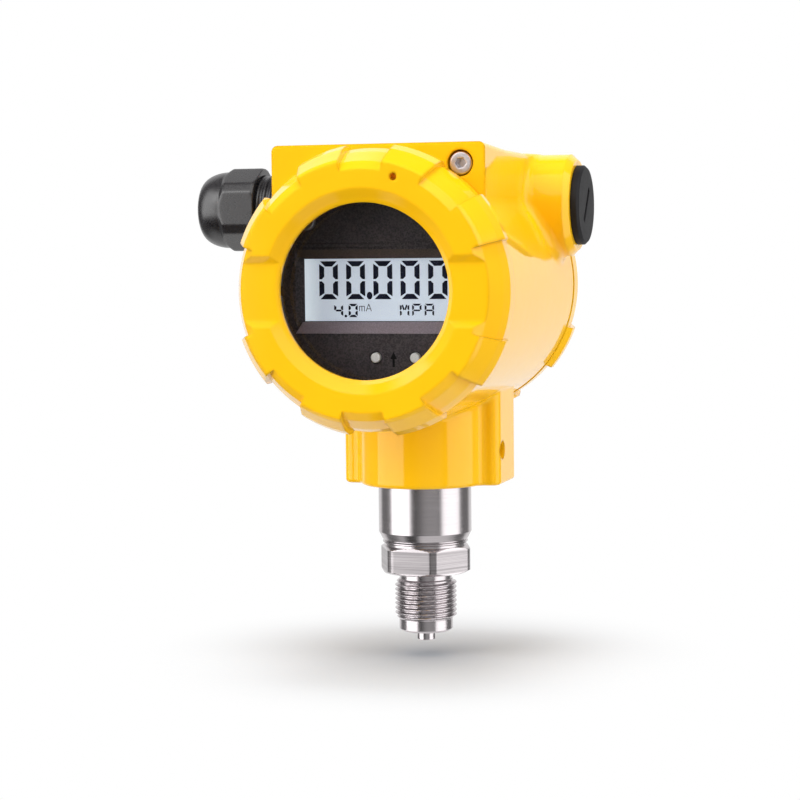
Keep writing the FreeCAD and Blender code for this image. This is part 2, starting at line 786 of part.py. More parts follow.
def housing():
    """Die-cast housing: drum, entry block, two cable bosses and the neck, all one casting."""
    piece = Piece("housing")
    cast_outside(piece)
    axis = S.drum_axis_height
    front, rear = S.front_depth, S.rear_depth
    length = front + rear
    neck_rise = axis - neck_bottom

    # Room behind the display, stepped below the shelf so that the sensor lead comes up into it
    piece.pocket(piece.circle("XZ_Plane", S.cavity_radius, offset=front, y=axis), S.upper_wall_depth)
    lower = half_room(piece, -1, axis + S.shelf_rise, front)
    piece.pocket(lower, length - S.lower_wall_depth)

    # Terminal room, stepped above the shelf so that both cable entries open into it
    piece.pocket(piece.circle("XZ_Plane", S.cavity_radius, offset=-rear, y=axis),
                 S.lower_wall_depth - S.wall, back=True)
    upper = half_room(piece, 1, axis + S.shelf_rise + S.wall, -rear)
    piece.pocket(upper, length - S.upper_wall_depth - S.wall, back=True)
    room_front = S.wall + S.upper_wall_depth - front
    chamber = piece.box_outline("YZ_Plane", room_front, S.chamber_rear,
                                axis + S.shelf_rise + S.wall, axis + S.chamber_rise)
    piece.pocket(chamber, 2 * S.chamber_half_width, both=True)

    # Threaded mouths for the covers, each with a seat for its sealing ring
    seat = S.cover_seal_ring + S.cover_seal_cord + S.running_clearance
    for offset, back in ((front, False), (-rear, True)):
        piece.pocket(piece.circle("XZ_Plane", mouth_radius, offset=offset, y=axis), S.thread_depth, back)
        piece.pocket(piece.circle("XZ_Plane", seat, offset=offset, y=axis), S.seat_depth, back)

    # Cable entries: a threaded bore from outside and a narrower passage into the chamber
    deep = S.entry_thread_length + S.entry_thread_room
    for offset, back in ((S.boss_reach, False), (-S.boss_reach, True)):
        bore = piece.circle("YZ_Plane", entry_bore_radius, offset=offset, x=S.entry_depth, y=entry_height)
        piece.pocket(bore, deep, back)
    passage = piece.circle("YZ_Plane", S.entry_passage_radius,
                           x=S.entry_depth - S.entry_passage_shift, y=entry_height)
    piece.pocket(passage, 2 * (S.boss_reach - S.entry_thread_length), both=True)

    # Neck bore for the fitting's shank and counterbore for its bar
    piece.pocket(piece.circle("XY_Plane", neck_bore_radius, offset=neck_bottom), neck_rise - S.wall, back=True)
    bar_bore = S.bar_radius + 2 * S.running_clearance
    piece.pocket(piece.circle("XY_Plane", bar_bore, offset=neck_bottom), S.neck_seat_depth, back=True)

    # Set screw hole in the side of the neck, and the two cover lock screws
    screw_bore = S.set_screw_radius + S.running_clearance
    piece.pocket(piece.circle("YZ_Plane", screw_bore, offset=S.neck_half_width, y=lock_height),
                 S.neck_half_width - S.shank_radius / 2)
    well_bore = S.lock_screw_radius + S.running_clearance
    for offset, x, y, back in lock_screw_spots():
        well = piece.circle("XZ_Plane", S.lock_screw_well_radius, offset, x, axis + y)
        piece.pocket(well, S.lock_screw_well_depth, back)
        hole = piece.circle("XZ_Plane", well_bore, offset, x, axis + y)
        piece.pocket(hole, S.lock_screw_well_depth + S.lock_screw_length, back)

    # Holes in the partition for the feedthrough and the fixing screws
    wall_back = rear - S.lower_wall_depth
    hole = piece.circle("XZ_Plane", S.feedthrough_radius + S.running_clearance,
                        offset=-wall_back - S.wall / 2, y=axis - S.feedthrough_drop)
    piece.pocket(hole, 4 * S.wall, both=True)
    drill_fixings(piece)
    return piece


def lock_screw_spots():
    """Face, place and direction of the two cover lock screws."""
    return [
        (S.front_depth, S.lock_screw_offset, S.lock_screw_rise, False),
        (-S.rear_depth, S.rear_screw_offset, S.rear_screw_rise, True),
    ]


def drill_fixings(piece):
    """Blind holes for the screws that hold the module, the terminal block and the ground lead."""
    axis, slack = S.drum_axis_height, S.running_clearance
    spots = [(x, axis + y) for x, y in module_screw_places()]
    holes = piece.circles("XZ_Plane", spots, S.module_screw_radius + slack, S.front_depth - S.upper_wall_depth)
    piece.pocket(holes, S.module_screw_bite + slack)
    floor = S.lower_wall_depth - S.wall - S.rear_depth
    spots = [(x, axis - y) for x, y in terminal_fix_places()]
    holes = piece.circles("XZ_Plane", spots, S.terminal_fix_radius + slack, floor)
    piece.pocket(holes, S.terminal_fix_bite + slack, back=True)
    rear_of_wall = S.front_depth - S.upper_wall_depth - S.wall
    hole = piece.circle("XZ_Plane", S.ground_screw_radius + slack, rear_of_wall,
                        -S.ground_offset, axis + S.ground_rise)
    piece.pocket(hole, S.ground_screw_bite + slack, back=True)


def module_screw_places():
    return screw_places(S.module_screw_ring, S.module_screw_angle, 6)[:2]


def terminal_fix_places():
    return [(S.terminal_fix_offset * side, S.terminal_fix_drop) for side in (-1, 1)]


def half_room(piece, side, level, offset):
    """Outline of the part of a round room above or below a level: straight level, round wall."""
    sketch = piece.sketch("XZ_Plane", offset)
    radius, axis = S.cavity_radius, S.drum_axis_height
    rise = (level - axis).value
    half = math.sqrt(radius.value ** 2 - rise ** 2)
    start = math.atan2(rise, half)
    end = math.pi - start
    if side < 0:
        start, end = math.pi - start, 2 * math.pi + start
    circle = Part.Circle(FreeCAD.Vector(0, axis.value, 0), FreeCAD.Vector(0, 0, 1), radius.value)
    sketch.addGeometry(Part.ArcOfCircle(circle, start, end), False)
    ends = [FreeCAD.Vector(half * sign, level.value, 0) for sign in ((-1, 1) if side > 0 else (1, -1))]
    sketch.addGeometry(Part.LineSegment(*ends), False)
    sketch.addConstraint(Sketcher.Constraint("Coincident", 0, 2, 1, 1))
    sketch.addConstraint(Sketcher.Constraint("Coincident", 1, 2, 0, 1))
    piece.tie(sketch, 0, 3, ZERO, axis)
    held = sketch.addConstraint(Sketcher.Constraint("Radius", 0, radius.value))
    sketch.setExpression(f"Constraints[{held}]", radius.text)
    sketch.addConstraint(Sketcher.Constraint("Horizontal", 1))
    held = sketch.addConstraint(Sketcher.Constraint("DistanceY", -1, 1, 1, 1, level.value))
    sketch.setExpression(f"Constraints[{held}]", level.text)
    return sketch


def cover_rim():
    """Outer side of a cover, from its flat face to its foot and down the threaded skirt."""
    return [
        (S.cover_face_radius - S.cover_face_edge, S.cover_height),
        (S.cover_face_radius, S.cover_height - S.cover_face_edge),
        (S.cover_shoulder_radius, S.cover_shoulder_height),
        (S.cover_radius, S.cover_ring_height),
        (S.cover_radius, S.cover_ring_land),
        (S.cover_foot_radius, S.cover_gap),
        (S.cover_seal_ring - S.cover_seal_cord - S.running_clearance, S.cover_gap),
        (S.cover_seal_ring - S.cover_seal_cord - S.running_clearance, -S.seat_depth),
        (S.cover_thread_radius, -S.seat_depth),
        (S.cover_thread_radius, S.skirt_edge - S.skirt_length),
        (S.cover_thread_radius - S.skirt_edge, -S.skirt_length),
        (S.skirt_bore_radius, -S.skirt_length),
    ]


def castellate(piece):
    """Grip notches round the rim, and a wrench slot across it at three and nine o'clock."""
    above = S.cover_height + S.wall
    outside = S.cover_radius + S.wall
    corners = [
        (S.notch_face_radius, S.cover_height),
        (S.notch_edge_radius, S.cover_height - S.notch_edge_drop),
        (S.notch_shoulder_radius, S.cover_shoulder_height - S.notch_shoulder_drop),
        (S.notch_radius, S.cover_ring_height - S.notch_shoulder_drop),
        (S.notch_radius, S.cover_gap / 2),
        (outside, S.cover_gap / 2),
        (outside, above),
        (S.notch_face_radius, above),
    ]
    step = S.notch_angle.value
    for start in (2.5 * step, 11.5 * step):
        piece.sector_cut(corners, start, S.notch_angle, 3, 4 * step)
    piece.sector_cut(corners, 0, 2 * S.notch_angle, 2, 360)
    floor = S.cover_height - S.slot_floor_drop
    half, slope = S.slot_half_width, S.slot_slope
    across = 2 * (S.cover_radius + S.wall)
    slot = piece.outline("YZ_Plane", [
        (-half, floor),
        (half, floor),
        (half + slope, S.cover_height),
        (half + 2 * slope, above),
        (-half - 2 * slope, above),
        (-half - slope, S.cover_height),
    ])
    piece.pocket(slot, across, both=True)


def front_cover():
    """Screw-on cover with the round window."""
    piece = Piece("front_cover", FRONT)
    ledge = lip_height - S.lip_thickness
    glass_bore = S.glass_radius + 4 * S.running_clearance
    ring_bore = S.retainer_radius + S.running_clearance
    inner = [
        (S.skirt_bore_radius, glass_bottom - S.retainer_height - S.running_clearance),
        (ring_bore, glass_bottom - S.retainer_height - S.running_clearance),
        (ring_bore, glass_bottom + S.running_clearance),
        (glass_bore, glass_bottom + S.running_clearance),
        (glass_bore, ledge),
        (S.window_radius, ledge),
        (S.window_radius, lip_height),
        (S.window_radius + S.window_bevel, S.cover_height - S.slot_floor_drop),
        (S.bevel_radius, S.cover_height),
    ]
    piece.turned(cover_rim() + inner)
    castellate(piece)
    hole = piece.circle("XY_Plane", S.seal_hole_radius, offset=S.cover_height,
                        x=S.seal_hole_ring * cosine(S.seal_hole_angle),
                        y=S.seal_hole_ring * sine(S.seal_hole_angle))
    piece.pocket(hole, S.seal_hole_depth)
    return piece


def rear_cover():
    """Blind screw-on cover for the terminal side."""
    piece = Piece("rear_cover", REAR)
    floor = S.cover_height - S.slot_floor_drop
    inner = [
        (S.skirt_bore_radius, floor - S.blind_thickness - S.window_bevel),
        (S.skirt_bore_radius - S.window_bevel, floor - S.blind_thickness),
        (ZERO, floor - S.blind_thickness),
        (ZERO, floor),
        (S.bevel_radius - S.slot_floor_drop, floor),
        (S.bevel_radius, S.cover_height),
    ]
    piece.turned(cover_rim() + inner)
    castellate(piece)
    return piece


def cover_seals():
    for name, place in (("front_cover_seal", FRONT), ("rear_cover_seal", REAR)):
        seal = Piece(name, place)
        height = S.cover_seal_cord - S.seat_depth + S.running_clearance
        seal.turned_circle(S.cover_seal_ring, height, S.cover_seal_cord)


def window():
    """Glass pane between its gasket and a threaded retaining ring, in the front cover."""
    gasket = Piece("window_gasket", FRONT)
    inner = S.window_radius + S.gasket_setback
    gasket.pad(gasket.ring("XY_Plane", S.glass_radius, inner, offset=glass_top), S.gasket_thickness)

    glass = Piece("window_glass", FRONT)
    edge = S.glass_edge
    glass.turned([
        (ZERO, glass_bottom),
        (S.glass_radius - edge, glass_bottom),
        (S.glass_radius, glass_bottom + edge),
        (S.glass_radius, glass_top - edge),
        (S.glass_radius - edge, glass_top),
        (ZERO, glass_top),
    ])

    ring = Piece("glass_retaining_ring", FRONT)
    base = glass_bottom - S.retainer_height
    ring.pad(ring.ring("XY_Plane", S.retainer_radius, S.retainer_bore, offset=base), S.retainer_height)
    notch = ring.outline("XY_Plane", square(S.retainer_notch, x=S.retainer_bore), offset=base)
    ring.around(ring.pocket(notch, S.retainer_height / 2, back=True), 4)


def screw_places(ring, angle, count):
    """Centres of screws spaced evenly on a ring."""
    places = []
    for i in range(count):
        turned = angle + as_size(360 * i / count)
        places.append((ring * cosine(turned), ring * sine(turned)))
    return places


def key_places():
    return [(S.key_left, -S.key_drop), (S.key_left + S.key_pitch, -S.key_drop)]


def display_bezel():
    """Moulded front of the display module: framed opening, ledges, key holes and screw holes."""
    piece = Piece("display_bezel", FRONT)
    piece.pad(piece.circle("XY_Plane", S.bezel_radius, offset=bezel_back), S.bezel_height)
    half, rise = S.lcd_half_width, S.lcd_half_height
    window_cut = piece.box_outline("XY_Plane", -half, half, -rise, rise, offset=panel_height)
    piece.pocket(window_cut, S.bezel_plate)
    piece.dress("Chamfer", S.lcd_bevel, lambda p: near(p.z, panel_height.value)
                and abs(p.x) < half.value + 0.01 and abs(p.y) < rise.value + 0.01)
    piece.pocket(piece.circle("XY_Plane", S.bezel_hollow_radius, offset=bezel_back),
                 S.bezel_height - S.bezel_plate, back=True)
    seat = piece.box_outline("XY_Plane", -half - S.lcd_border, half + S.lcd_border,
                             -rise - S.lcd_border, rise + S.lcd_border, offset=bezel_back)
    piece.pocket(seat, S.bezel_height - S.lcd_drop, back=True)
    for i in range(2):
        low = S.ledge_rise + i * S.ledge_pitch
        line = piece.box_outline("XY_Plane", -S.ledge_half_width, S.ledge_half_width,
                                 low, low + S.ledge_width, offset=panel_height)
        piece.pocket(line, S.ledge_depth)
    key_bore = S.key_radius + S.key_clearance
    piece.pocket(piece.circles("XY_Plane", key_places(), key_bore, offset=panel_height), S.bezel_plate)
    piece.pocket(piece.circles("XY_Plane", key_places(), S.key_well_radius, offset=panel_height), S.key_well_depth)
    flange_bore = S.key_flange_radius + S.key_clearance
    key_room = key_shoulder + S.running_clearance - plate_back
    piece.pocket(piece.circles("XY_Plane", key_places(), flange_bore, offset=plate_back), key_room, back=True)
    screws = screw_places(S.bezel_screw_ring, S.bezel_screw_angle, 2)
    bore = S.bezel_screw_radius + S.running_clearance
    piece.pocket(piece.circles("XY_Plane", screws, bore, offset=panel_height), S.bezel_height)
    return piece


def display_inside():
    """Liquid crystal panel, keys with their switches, board, screws and standoffs."""
    panel = Piece("lcd_panel", FRONT)
    half = S.lcd_half_width + S.lcd_border - S.running_clearance
    rise = S.lcd_half_height + S.lcd_border - S.running_clearance
    thickness = lcd_height - plate_back
    panel.pad(panel.box_outline("XY_Plane", -half, half, -rise, rise, offset=plate_back), thickness)

    board = Piece("display_board", FRONT)
    board_radius = S.bezel_hollow_radius - 4 * S.running_clearance
    board.pad(board.circle("XY_Plane", board_radius, offset=plate_back - S.board_thickness), S.board_thickness)

    switches = Piece("key_switches", FRONT)
    sketch = switches.sketch("XY_Plane", plate_back)
    for x, y in key_places():
        switches.add_loop(sketch, square(S.switch_size, x, y))
    switches.pad(sketch, S.switch_height)

    for name, (x, y) in zip(("key_up", "key_set"), key_places()):
        base = (x, -S.front_depth, S.drum_axis_height + y)
        key = Piece(name, Place(base, (1, 0, 0), 90))
        top = panel_height + S.key_proud
        key.turned([
            (ZERO, key_foot),
            (S.key_flange_radius, key_foot),
            (S.key_flange_radius, key_shoulder),
            (S.key_radius, key_shoulder),
            (S.key_radius, top - S.key_edge),
            (S.key_radius - S.key_edge, top),
            (ZERO, top),
        ])

    places = screw_places(S.bezel_screw_ring, S.bezel_screw_angle, 2)
    screws = Piece("display_screws", FRONT)
    depth = S.bezel_height + S.standoff_height / 2
    screws.pad(screws.circles("XY_Plane", places, S.bezel_screw_head_radius, offset=panel_height),
               S.bezel_screw_head_height)
    screws.pad(screws.circles("XY_Plane", places, S.bezel_screw_radius, offset=panel_height), depth, back=True)
    top = panel_height + S.bezel_screw_head_height
    cross_slots(screws, places, S.bezel_screw_head_radius, top)

    standoffs = Piece("display_standoffs", FRONT)
    standoffs.pad(standoffs.circles("XY_Plane", places, S.standoff_radius, offset=module_front),
                  S.standoff_height)
    bore = S.bezel_screw_radius + S.running_clearance
    standoffs.pocket(standoffs.circles("XY_Plane", places, bore, offset=bezel_back),
                     S.standoff_height / 2 + S.seat_clearance)


def cross_slots(piece, places, head_radius, top):
    """A cross recess in each screw head."""
    long, short = head_radius * 1.2, head_radius * 0.3
    for width, height in ((long, short), (short, long)):
        sketch = piece.sketch("XY_Plane", top)
        for x, y in places:
            piece.add_loop(sketch, [
                (x - width / 2, y - height / 2),
                (x + width / 2, y - height / 2),
                (x + width / 2, y + height / 2),
                (x - width / 2, y + height / 2),
            ])
        piece.pocket(sketch, head_radius * 0.35)


def electronics():
    """Potted electronics behind the display, with the socket over the sensor lead."""
    module = Piece("electronics_module", FRONT)
    base = -S.upper_wall_depth
    module.pad(module.circle("XY_Plane", S.module_radius, offset=base), module_front - base)
    leg = module.box_outline("XY_Plane", -S.module_leg_half_width, S.module_leg_half_width,
                             -S.module_leg_bottom, -S.module_leg_top, offset=base)
    module.pad(leg, base - leg_end, back=True)
    rim = module.circle("XY_Plane", S.module_radius - S.wall / 2, offset=module_front)
    module.pocket(rim, S.wall / 2)
    doc.recompute()
    places = module_screw_places()
    bore = S.module_screw_radius + S.running_clearance
    module.pocket(module.circles("XY_Plane", places, bore, offset=module_front), module_front - base)
    pads = screw_places(S.bezel_screw_ring, S.bezel_screw_angle, 2)
    module.pad(module.circles("XY_Plane", pads, S.standoff_radius, offset=module_front), S.wall, back=True)

    screws = Piece("module_screws", FRONT)
    seat = module_front - S.wall / 2
    reach = seat + S.upper_wall_depth + S.module_screw_bite
    screws.pad(screws.circles("XY_Plane", places, S.module_screw_head_radius, offset=seat),
               S.module_screw_head_height)
    screws.pad(screws.circles("XY_Plane", places, S.module_screw_radius, offset=seat), reach, back=True)
    cross_slots(screws, places, S.module_screw_head_radius, seat + S.module_screw_head_height)

    socket = Piece("lead_socket")
    socket.pad(socket.ring("XY_Plane", S.socket_radius, S.lead_radius + 2 * S.running_clearance,
                           offset=socket_top - S.socket_height), S.socket_height)


def terminal_side():
    """Feedthrough in the partition, terminal block with its screws and clamps, and the ground screw."""
    floor = S.wall - S.lower_wall_depth
    bushing = Piece("feedthrough", REAR)
    front_end = floor - S.wall - S.feedthrough_neck
    bushing.pad(bushing.circle("XY_Plane", S.feedthrough_radius, offset=front_end, y=S.feedthrough_drop),
                S.wall + S.feedthrough_neck)
    spots = [(i * S.feedthrough_pin_pitch, S.feedthrough_drop) for i in (-1, 0, 1)]
    bushing.pad(bushing.circles("XY_Plane", spots, S.feedthrough_pin_radius, offset=floor),
                S.feedthrough_pin_length)

    block = Piece("terminal_block", REAR)
    half = S.terminal_half_width
    block.pad(block.box_outline("XY_Plane", -half, half, -S.terminal_top, S.terminal_bottom, offset=floor),
              S.terminal_depth)
    step_top = floor + S.terminal_depth + S.terminal_step
    block.pad(block.box_outline("XY_Plane", -half, half, -S.terminal_step_top, S.terminal_step_bottom,
                                offset=floor), S.terminal_depth + S.terminal_step)
    pitch, row = S.terminal_pitch, S.terminal_row_drop
    columns = [pitch * share for share in (-1.5, -0.5, 0.5, 1.5)]
    slot = S.terminal_clamp_size / 2 + 2 * S.running_clearance
    cells = block.sketch("XY_Plane", step_top)
    for x in columns:
        block.add_loop(cells, [
            (x - slot, row - slot),
            (x + slot, row - slot),
            (x + slot, row + slot),
            (x - slot, row + slot),
        ])
    block.pocket(cells, S.terminal_step)
    bore = S.terminal_screw_radius + S.running_clearance
    screws_at = [(x, row) for x in columns]
    block.pocket(block.circles("XY_Plane", screws_at, bore, offset=step_top),
                 S.terminal_step + S.terminal_depth / 2)
    fix_bore = S.terminal_fix_radius + S.running_clearance
    block.pocket(block.circles("XY_Plane", terminal_fix_places(), fix_bore, offset=floor + S.terminal_depth),
                 S.terminal_depth)
    spread = 2 * S.feedthrough_pin_pitch
    relief = block.box_outline("XY_Plane", -spread, spread, S.feedthrough_drop - spread / 2,
                               S.feedthrough_drop + spread / 2, offset=floor)
    block.pocket(relief, S.feedthrough_pin_length + S.seat_clearance, back=True)

    clamps = Piece("terminal_clamps", REAR)
    seat = floor + S.terminal_depth
    plates = clamps.sketch("XY_Plane", seat)
    half_clamp = S.terminal_clamp_size / 2
    for x in columns:
        clamps.add_loop(plates, [
            (x - half_clamp, row - half_clamp),
            (x + half_clamp, row - half_clamp),
            (x + half_clamp, row + half_clamp),
            (x - half_clamp, row + half_clamp),
        ])
    clamps.pad(plates, S.terminal_clamp_thickness)
    clamps.pocket(clamps.circles("XY_Plane", screws_at, bore, offset=seat + S.terminal_clamp_thickness),
                  S.terminal_clamp_thickness)

    screws = Piece("terminal_screws", REAR)
    under_head = seat + S.terminal_clamp_thickness
    screws.pad(screws.circles("XY_Plane", screws_at, S.terminal_head_radius, offset=under_head),
               S.terminal_head_height)
    screws.pad(screws.circles("XY_Plane", screws_at, S.terminal_screw_radius, offset=under_head),
               S.terminal_clamp_thickness + S.terminal_depth / 2 - S.seat_clearance, back=True)
    cross_slots(screws, screws_at, S.terminal_head_radius, under_head + S.terminal_head_height)

    fixing = Piece("terminal_block_screws", REAR)
    places = terminal_fix_places()
    fixing.pad(fixing.circles("XY_Plane", places, S.terminal_fix_head_radius, offset=seat),
               S.module_screw_head_height)
    fixing.pad(fixing.circles("XY_Plane", places, S.terminal_fix_radius, offset=seat),
               S.terminal_depth + S.terminal_fix_bite - S.seat_clearance, back=True)
    cross_slots(fixing, places, S.terminal_fix_head_radius, seat + S.module_screw_head_height)

    rear_of_wall = S.upper_wall_depth + S.wall - S.front_depth
    spot = Place((-S.ground_offset, rear_of_wall, S.drum_axis_height + S.ground_rise), (1, 0, 0), -90)
    washer = Piece("ground_washer", spot)
    bore = S.ground_screw_radius + S.running_clearance
    washer.pad(washer.ring("XY_Plane", S.ground_washer_radius, bore), S.ground_washer_thickness)
    screw = Piece("ground_screw", spot)
    under_head = S.ground_washer_thickness
    screw.pad(screw.circle("XY_Plane", S.ground_head_radius, offset=under_head), S.ground_head_height)
    screw.pad(screw.circle("XY_Plane", S.ground_screw_radius, offset=under_head),
              S.ground_screw_bite + under_head - S.seat_clearance, back=True)
    cross_slots(screw, [(ZERO, ZERO)], S.ground_head_radius, under_head + S.ground_head_height)


def socket_screw(name, place, head_radius, head_height, radius, length, socket):
    """A cap screw whose head starts at its own origin, with a hexagon socket."""
    screw = Piece(name, place)
    screw.pad(screw.circle("XY_Plane", head_radius), head_height)
    screw.pad(screw.circle("XY_Plane", radius), length, back=True)
    corner = socket / 2 / cosine(as_size(30))
    hexagon = [(corner * cosine(as_size(60 * i)), corner * sine(as_size(60 * i))) for i in range(6)]
    screw.pocket(screw.outline("XY_Plane", hexagon, offset=head_height), head_height / 2)
    edge = head_height.value
    screw.dress("Chamfer", S.block_edge / 2, lambda p: near(p.z, edge)
                and math.hypot(p.x, p.y) > head_radius.value - 0.1)
    return screw


def locking_screws():
    """Set screw that clamps the neck to the fitting, and the two screws that lock the covers."""
    seat = S.shank_radius - S.lock_groove_depth + S.running_clearance
    screw = Piece("neck_set_screw", Place((seat, ZERO, lock_height), (0, 1, 0), 90))
    tip, length = S.set_screw_tip_length, S.set_screw_length
    screw.turned([
        (ZERO, ZERO),
        (S.set_screw_tip_radius, ZERO),
        (S.set_screw_tip_radius, tip / 2),
        (S.set_screw_radius, tip),
        (S.set_screw_radius, length),
        (ZERO, length),
    ])
    corner = S.set_screw_socket / 2 / cosine(as_size(30))
    hexagon = [(corner * cosine(as_size(60 * i)), corner * sine(as_size(60 * i))) for i in range(6)]
    screw.pocket(screw.outline("XY_Plane", hexagon, offset=length), S.set_screw_socket)

    axis = S.drum_axis_height
    under_head = S.lock_screw_well_depth
    turn = {"turn_axis": (1, 0, 0)}
    for name, (offset, x, y, back) in zip(("front_lock_screw", "rear_lock_screw"), lock_screw_spots()):
        depth = -offset - under_head if back else under_head - offset
        place = Place((x, depth, axis + y), turn=-90 if back else 90, **turn)
        socket_screw(name, place, S.lock_screw_head_radius, S.lock_screw_head_height, S.lock_screw_radius,
                     S.lock_screw_length - S.seat_clearance, S.lock_screw_socket)


def cable_gland():
    """Nylon gland without a cable: washer, body, clamping fingers, seal and domed nut."""
    washer = Piece("gland_washer", LEFT)
    thread = S.entry_thread_radius
    washer.pad(washer.ring("XY_Plane", S.gland_washer_radius, thread + 2 * S.running_clearance),
               S.gland_washer_thickness)

    body = Piece("gland_body", LEFT)
    hex_base = S.gland_washer_thickness
    hex_top = hex_base + S.gland_hex_length
    neck_top = hex_top + S.gland_neck_length
    ridge, pitch = S.gland_ridge_radius, S.gland_ridge_pitch
    valley = ridge - S.gland_ridge_depth
    profile = [
        (S.gland_bore_radius, -S.entry_thread_length),
        (thread - S.block_edge, -S.entry_thread_length),
        (thread, S.block_edge - S.entry_thread_length),
        (thread, hex_base),
        (S.gland_hex_corner, hex_base),
        (S.gland_hex_corner, hex_top),
        (valley, hex_top),
    ]
    ridges = S.gland_ridge_count
    for i in range(round(ridges.value)):
        low = hex_top + pitch * (i + 0.25)
        profile += [
            (valley, low),
            (ridge, low + pitch / 4),
            (ridge, low + pitch / 2),
            (valley, low + 3 * pitch / 4),
        ]
    clamp_base = neck_top - S.clamp_length
    profile += [
        (valley, hex_top + pitch * (ridges + 0.25)),
        (valley, clamp_base),
        (S.clamp_outer, clamp_base),
        (S.clamp_outer - S.block_edge, neck_top),
        (S.clamp_inner, neck_top),
        (S.clamp_inner, neck_top - S.gland_seal_length),
        (S.gland_bore_radius, neck_top - S.gland_seal_length),
    ]
    body.turned(profile)
    mill_flats(body, S.gland_hex_across_flats, S.gland_hex_corner, hex_base, S.gland_hex_length)
    half = S.clamp_slot / 2
    gap = body.box_outline("XY_Plane", S.clamp_inner - 2 * S.block_edge, ridge, -half, half, offset=neck_top)
    body.around(body.pocket(gap, S.clamp_length), 8)

    seal = Piece("gland_seal", LEFT)
    clear = S.running_clearance
    base = neck_top - S.gland_seal_length + clear
    seal.turned([
        (S.gland_seal_bore, base),
        (S.clamp_inner - clear, base),
        (S.clamp_inner - clear, neck_top),
        (S.gland_seal_bore, neck_top),
    ])

    nut = Piece("gland_nut", LEFT)
    start = hex_top + S.nut_gap
    end = start + S.nut_length
    flat_end = start + S.nut_flat_length
    thread_bore = ridge + clear
    shelf = end - S.nut_mouth_wall
    throat = S.clamp_outer + S.seat_clearance
    nut.turned([
        (thread_bore, start),
        (S.nut_corner_radius - S.block_edge, start),
        (S.nut_corner_radius, start + S.block_edge),
        (S.nut_corner_radius, flat_end),
        ((S.nut_corner_radius * 2 + S.nut_dome_radius) / 3, (flat_end * 2 + end) / 3 + S.block_edge),
        ((S.nut_corner_radius + 2 * S.nut_dome_radius) / 3 + S.block_edge,
         (flat_end + 2 * end) / 3 + S.block_edge),
        (S.nut_dome_radius, end),
        (S.nut_mouth_radius, end),
        (S.nut_mouth_radius, shelf),
        (throat - S.block_edge, shelf),
        (throat, neck_top - S.clamp_length / 2),
        (thread_bore, clamp_base - S.block_edge),
    ])
    mill_flats(nut, S.nut_across_flats, S.nut_corner_radius, start, S.nut_length)


def blanking_plug():
    """Slotted plug in the unused cable entry, on its sealing ring."""
    plug = Piece("blanking_plug", RIGHT)
    edge, thread = S.plug_edge, S.entry_thread_radius
    groove = 2 * S.plug_seal_cord
    plug.turned([
        (ZERO, -S.entry_thread_length / 2),
        (S.plug_core_radius, -S.entry_thread_length / 2),
        (S.plug_core_radius, -S.entry_thread_length),
        (thread - edge, -S.entry_thread_length),
        (thread, edge - S.entry_thread_length),
        (thread, S.plug_head_height / 2),
        (S.plug_seal_ring + S.plug_seal_cord + S.running_clearance, S.plug_head_height / 2),
        (S.plug_seal_ring + S.plug_seal_cord + S.running_clearance, S.running_clearance),
        (S.plug_head_radius, S.running_clearance),
        (S.plug_head_radius, S.plug_head_height - edge),
        (S.plug_head_radius - edge, S.plug_head_height),
        (ZERO, S.plug_head_height),
    ])
    half, width = S.plug_slot_length / 2, S.plug_slot_width / 2
    slot = plug.box_outline("XY_Plane", -width, width, -half, half, offset=S.plug_head_height)
    plug.pocket(slot, S.plug_slot_depth)

    seal = Piece("plug_seal", RIGHT)
    seal.turned_circle(S.plug_seal_ring, S.plug_seal_cord, S.plug_seal_cord)


def check_and_write():
    """Every object has to be sound before any file is written."""
    doc.recompute()
    for item in doc.Objects:
        bad = [word for word in item.State if word in ("Invalid", "Error")]
        if bad:
            raise RuntimeError(f"{item.Name} is {bad}")
    for piece in pieces:
        shape = piece.body.Shape
        if shape.isNull() or not shape.isValid():
            raise RuntimeError(f"{piece.name} has no sound shape")
    os.makedirs("parts", exist_ok=True)
    for piece in pieces:
        piece.body.Shape.exportStep(f"parts/{piece.body.Label}.step")
        print(piece.name, round(piece.body.Shape.Volume), len(piece.body.Shape.Solids))


process_fitting()
fitting_inside()
housing()
front_cover()
rear_cover()
cover_seals()
window()
display_bezel()
display_inside()
electronics()
terminal_side()
locking_screws()
cable_gland()
blanking_plug()
check_and_write()
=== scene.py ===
import json
import math

import bpy
import numpy as np
from mathutils import Matrix, Vector


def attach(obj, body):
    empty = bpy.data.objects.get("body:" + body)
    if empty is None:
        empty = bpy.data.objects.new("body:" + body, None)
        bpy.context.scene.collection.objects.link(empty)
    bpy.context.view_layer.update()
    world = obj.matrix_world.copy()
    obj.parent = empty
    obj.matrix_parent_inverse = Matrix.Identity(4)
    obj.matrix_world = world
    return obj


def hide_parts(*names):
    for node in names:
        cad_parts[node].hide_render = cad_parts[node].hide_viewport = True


# Pressure transmitter with a local display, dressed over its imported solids.
# The frame is the solids': Z runs up the process fitting and the display looks along -Y. Outlines and
# places are written in millimetres, materials in metres.

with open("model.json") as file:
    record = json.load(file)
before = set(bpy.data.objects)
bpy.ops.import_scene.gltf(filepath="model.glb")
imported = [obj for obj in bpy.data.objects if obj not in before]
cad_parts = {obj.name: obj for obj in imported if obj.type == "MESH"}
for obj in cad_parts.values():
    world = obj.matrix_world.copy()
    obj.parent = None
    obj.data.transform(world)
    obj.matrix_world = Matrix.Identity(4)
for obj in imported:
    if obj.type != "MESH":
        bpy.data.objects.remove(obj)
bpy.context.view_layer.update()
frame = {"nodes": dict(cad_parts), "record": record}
nodes = frame["nodes"]
MM = 0.001

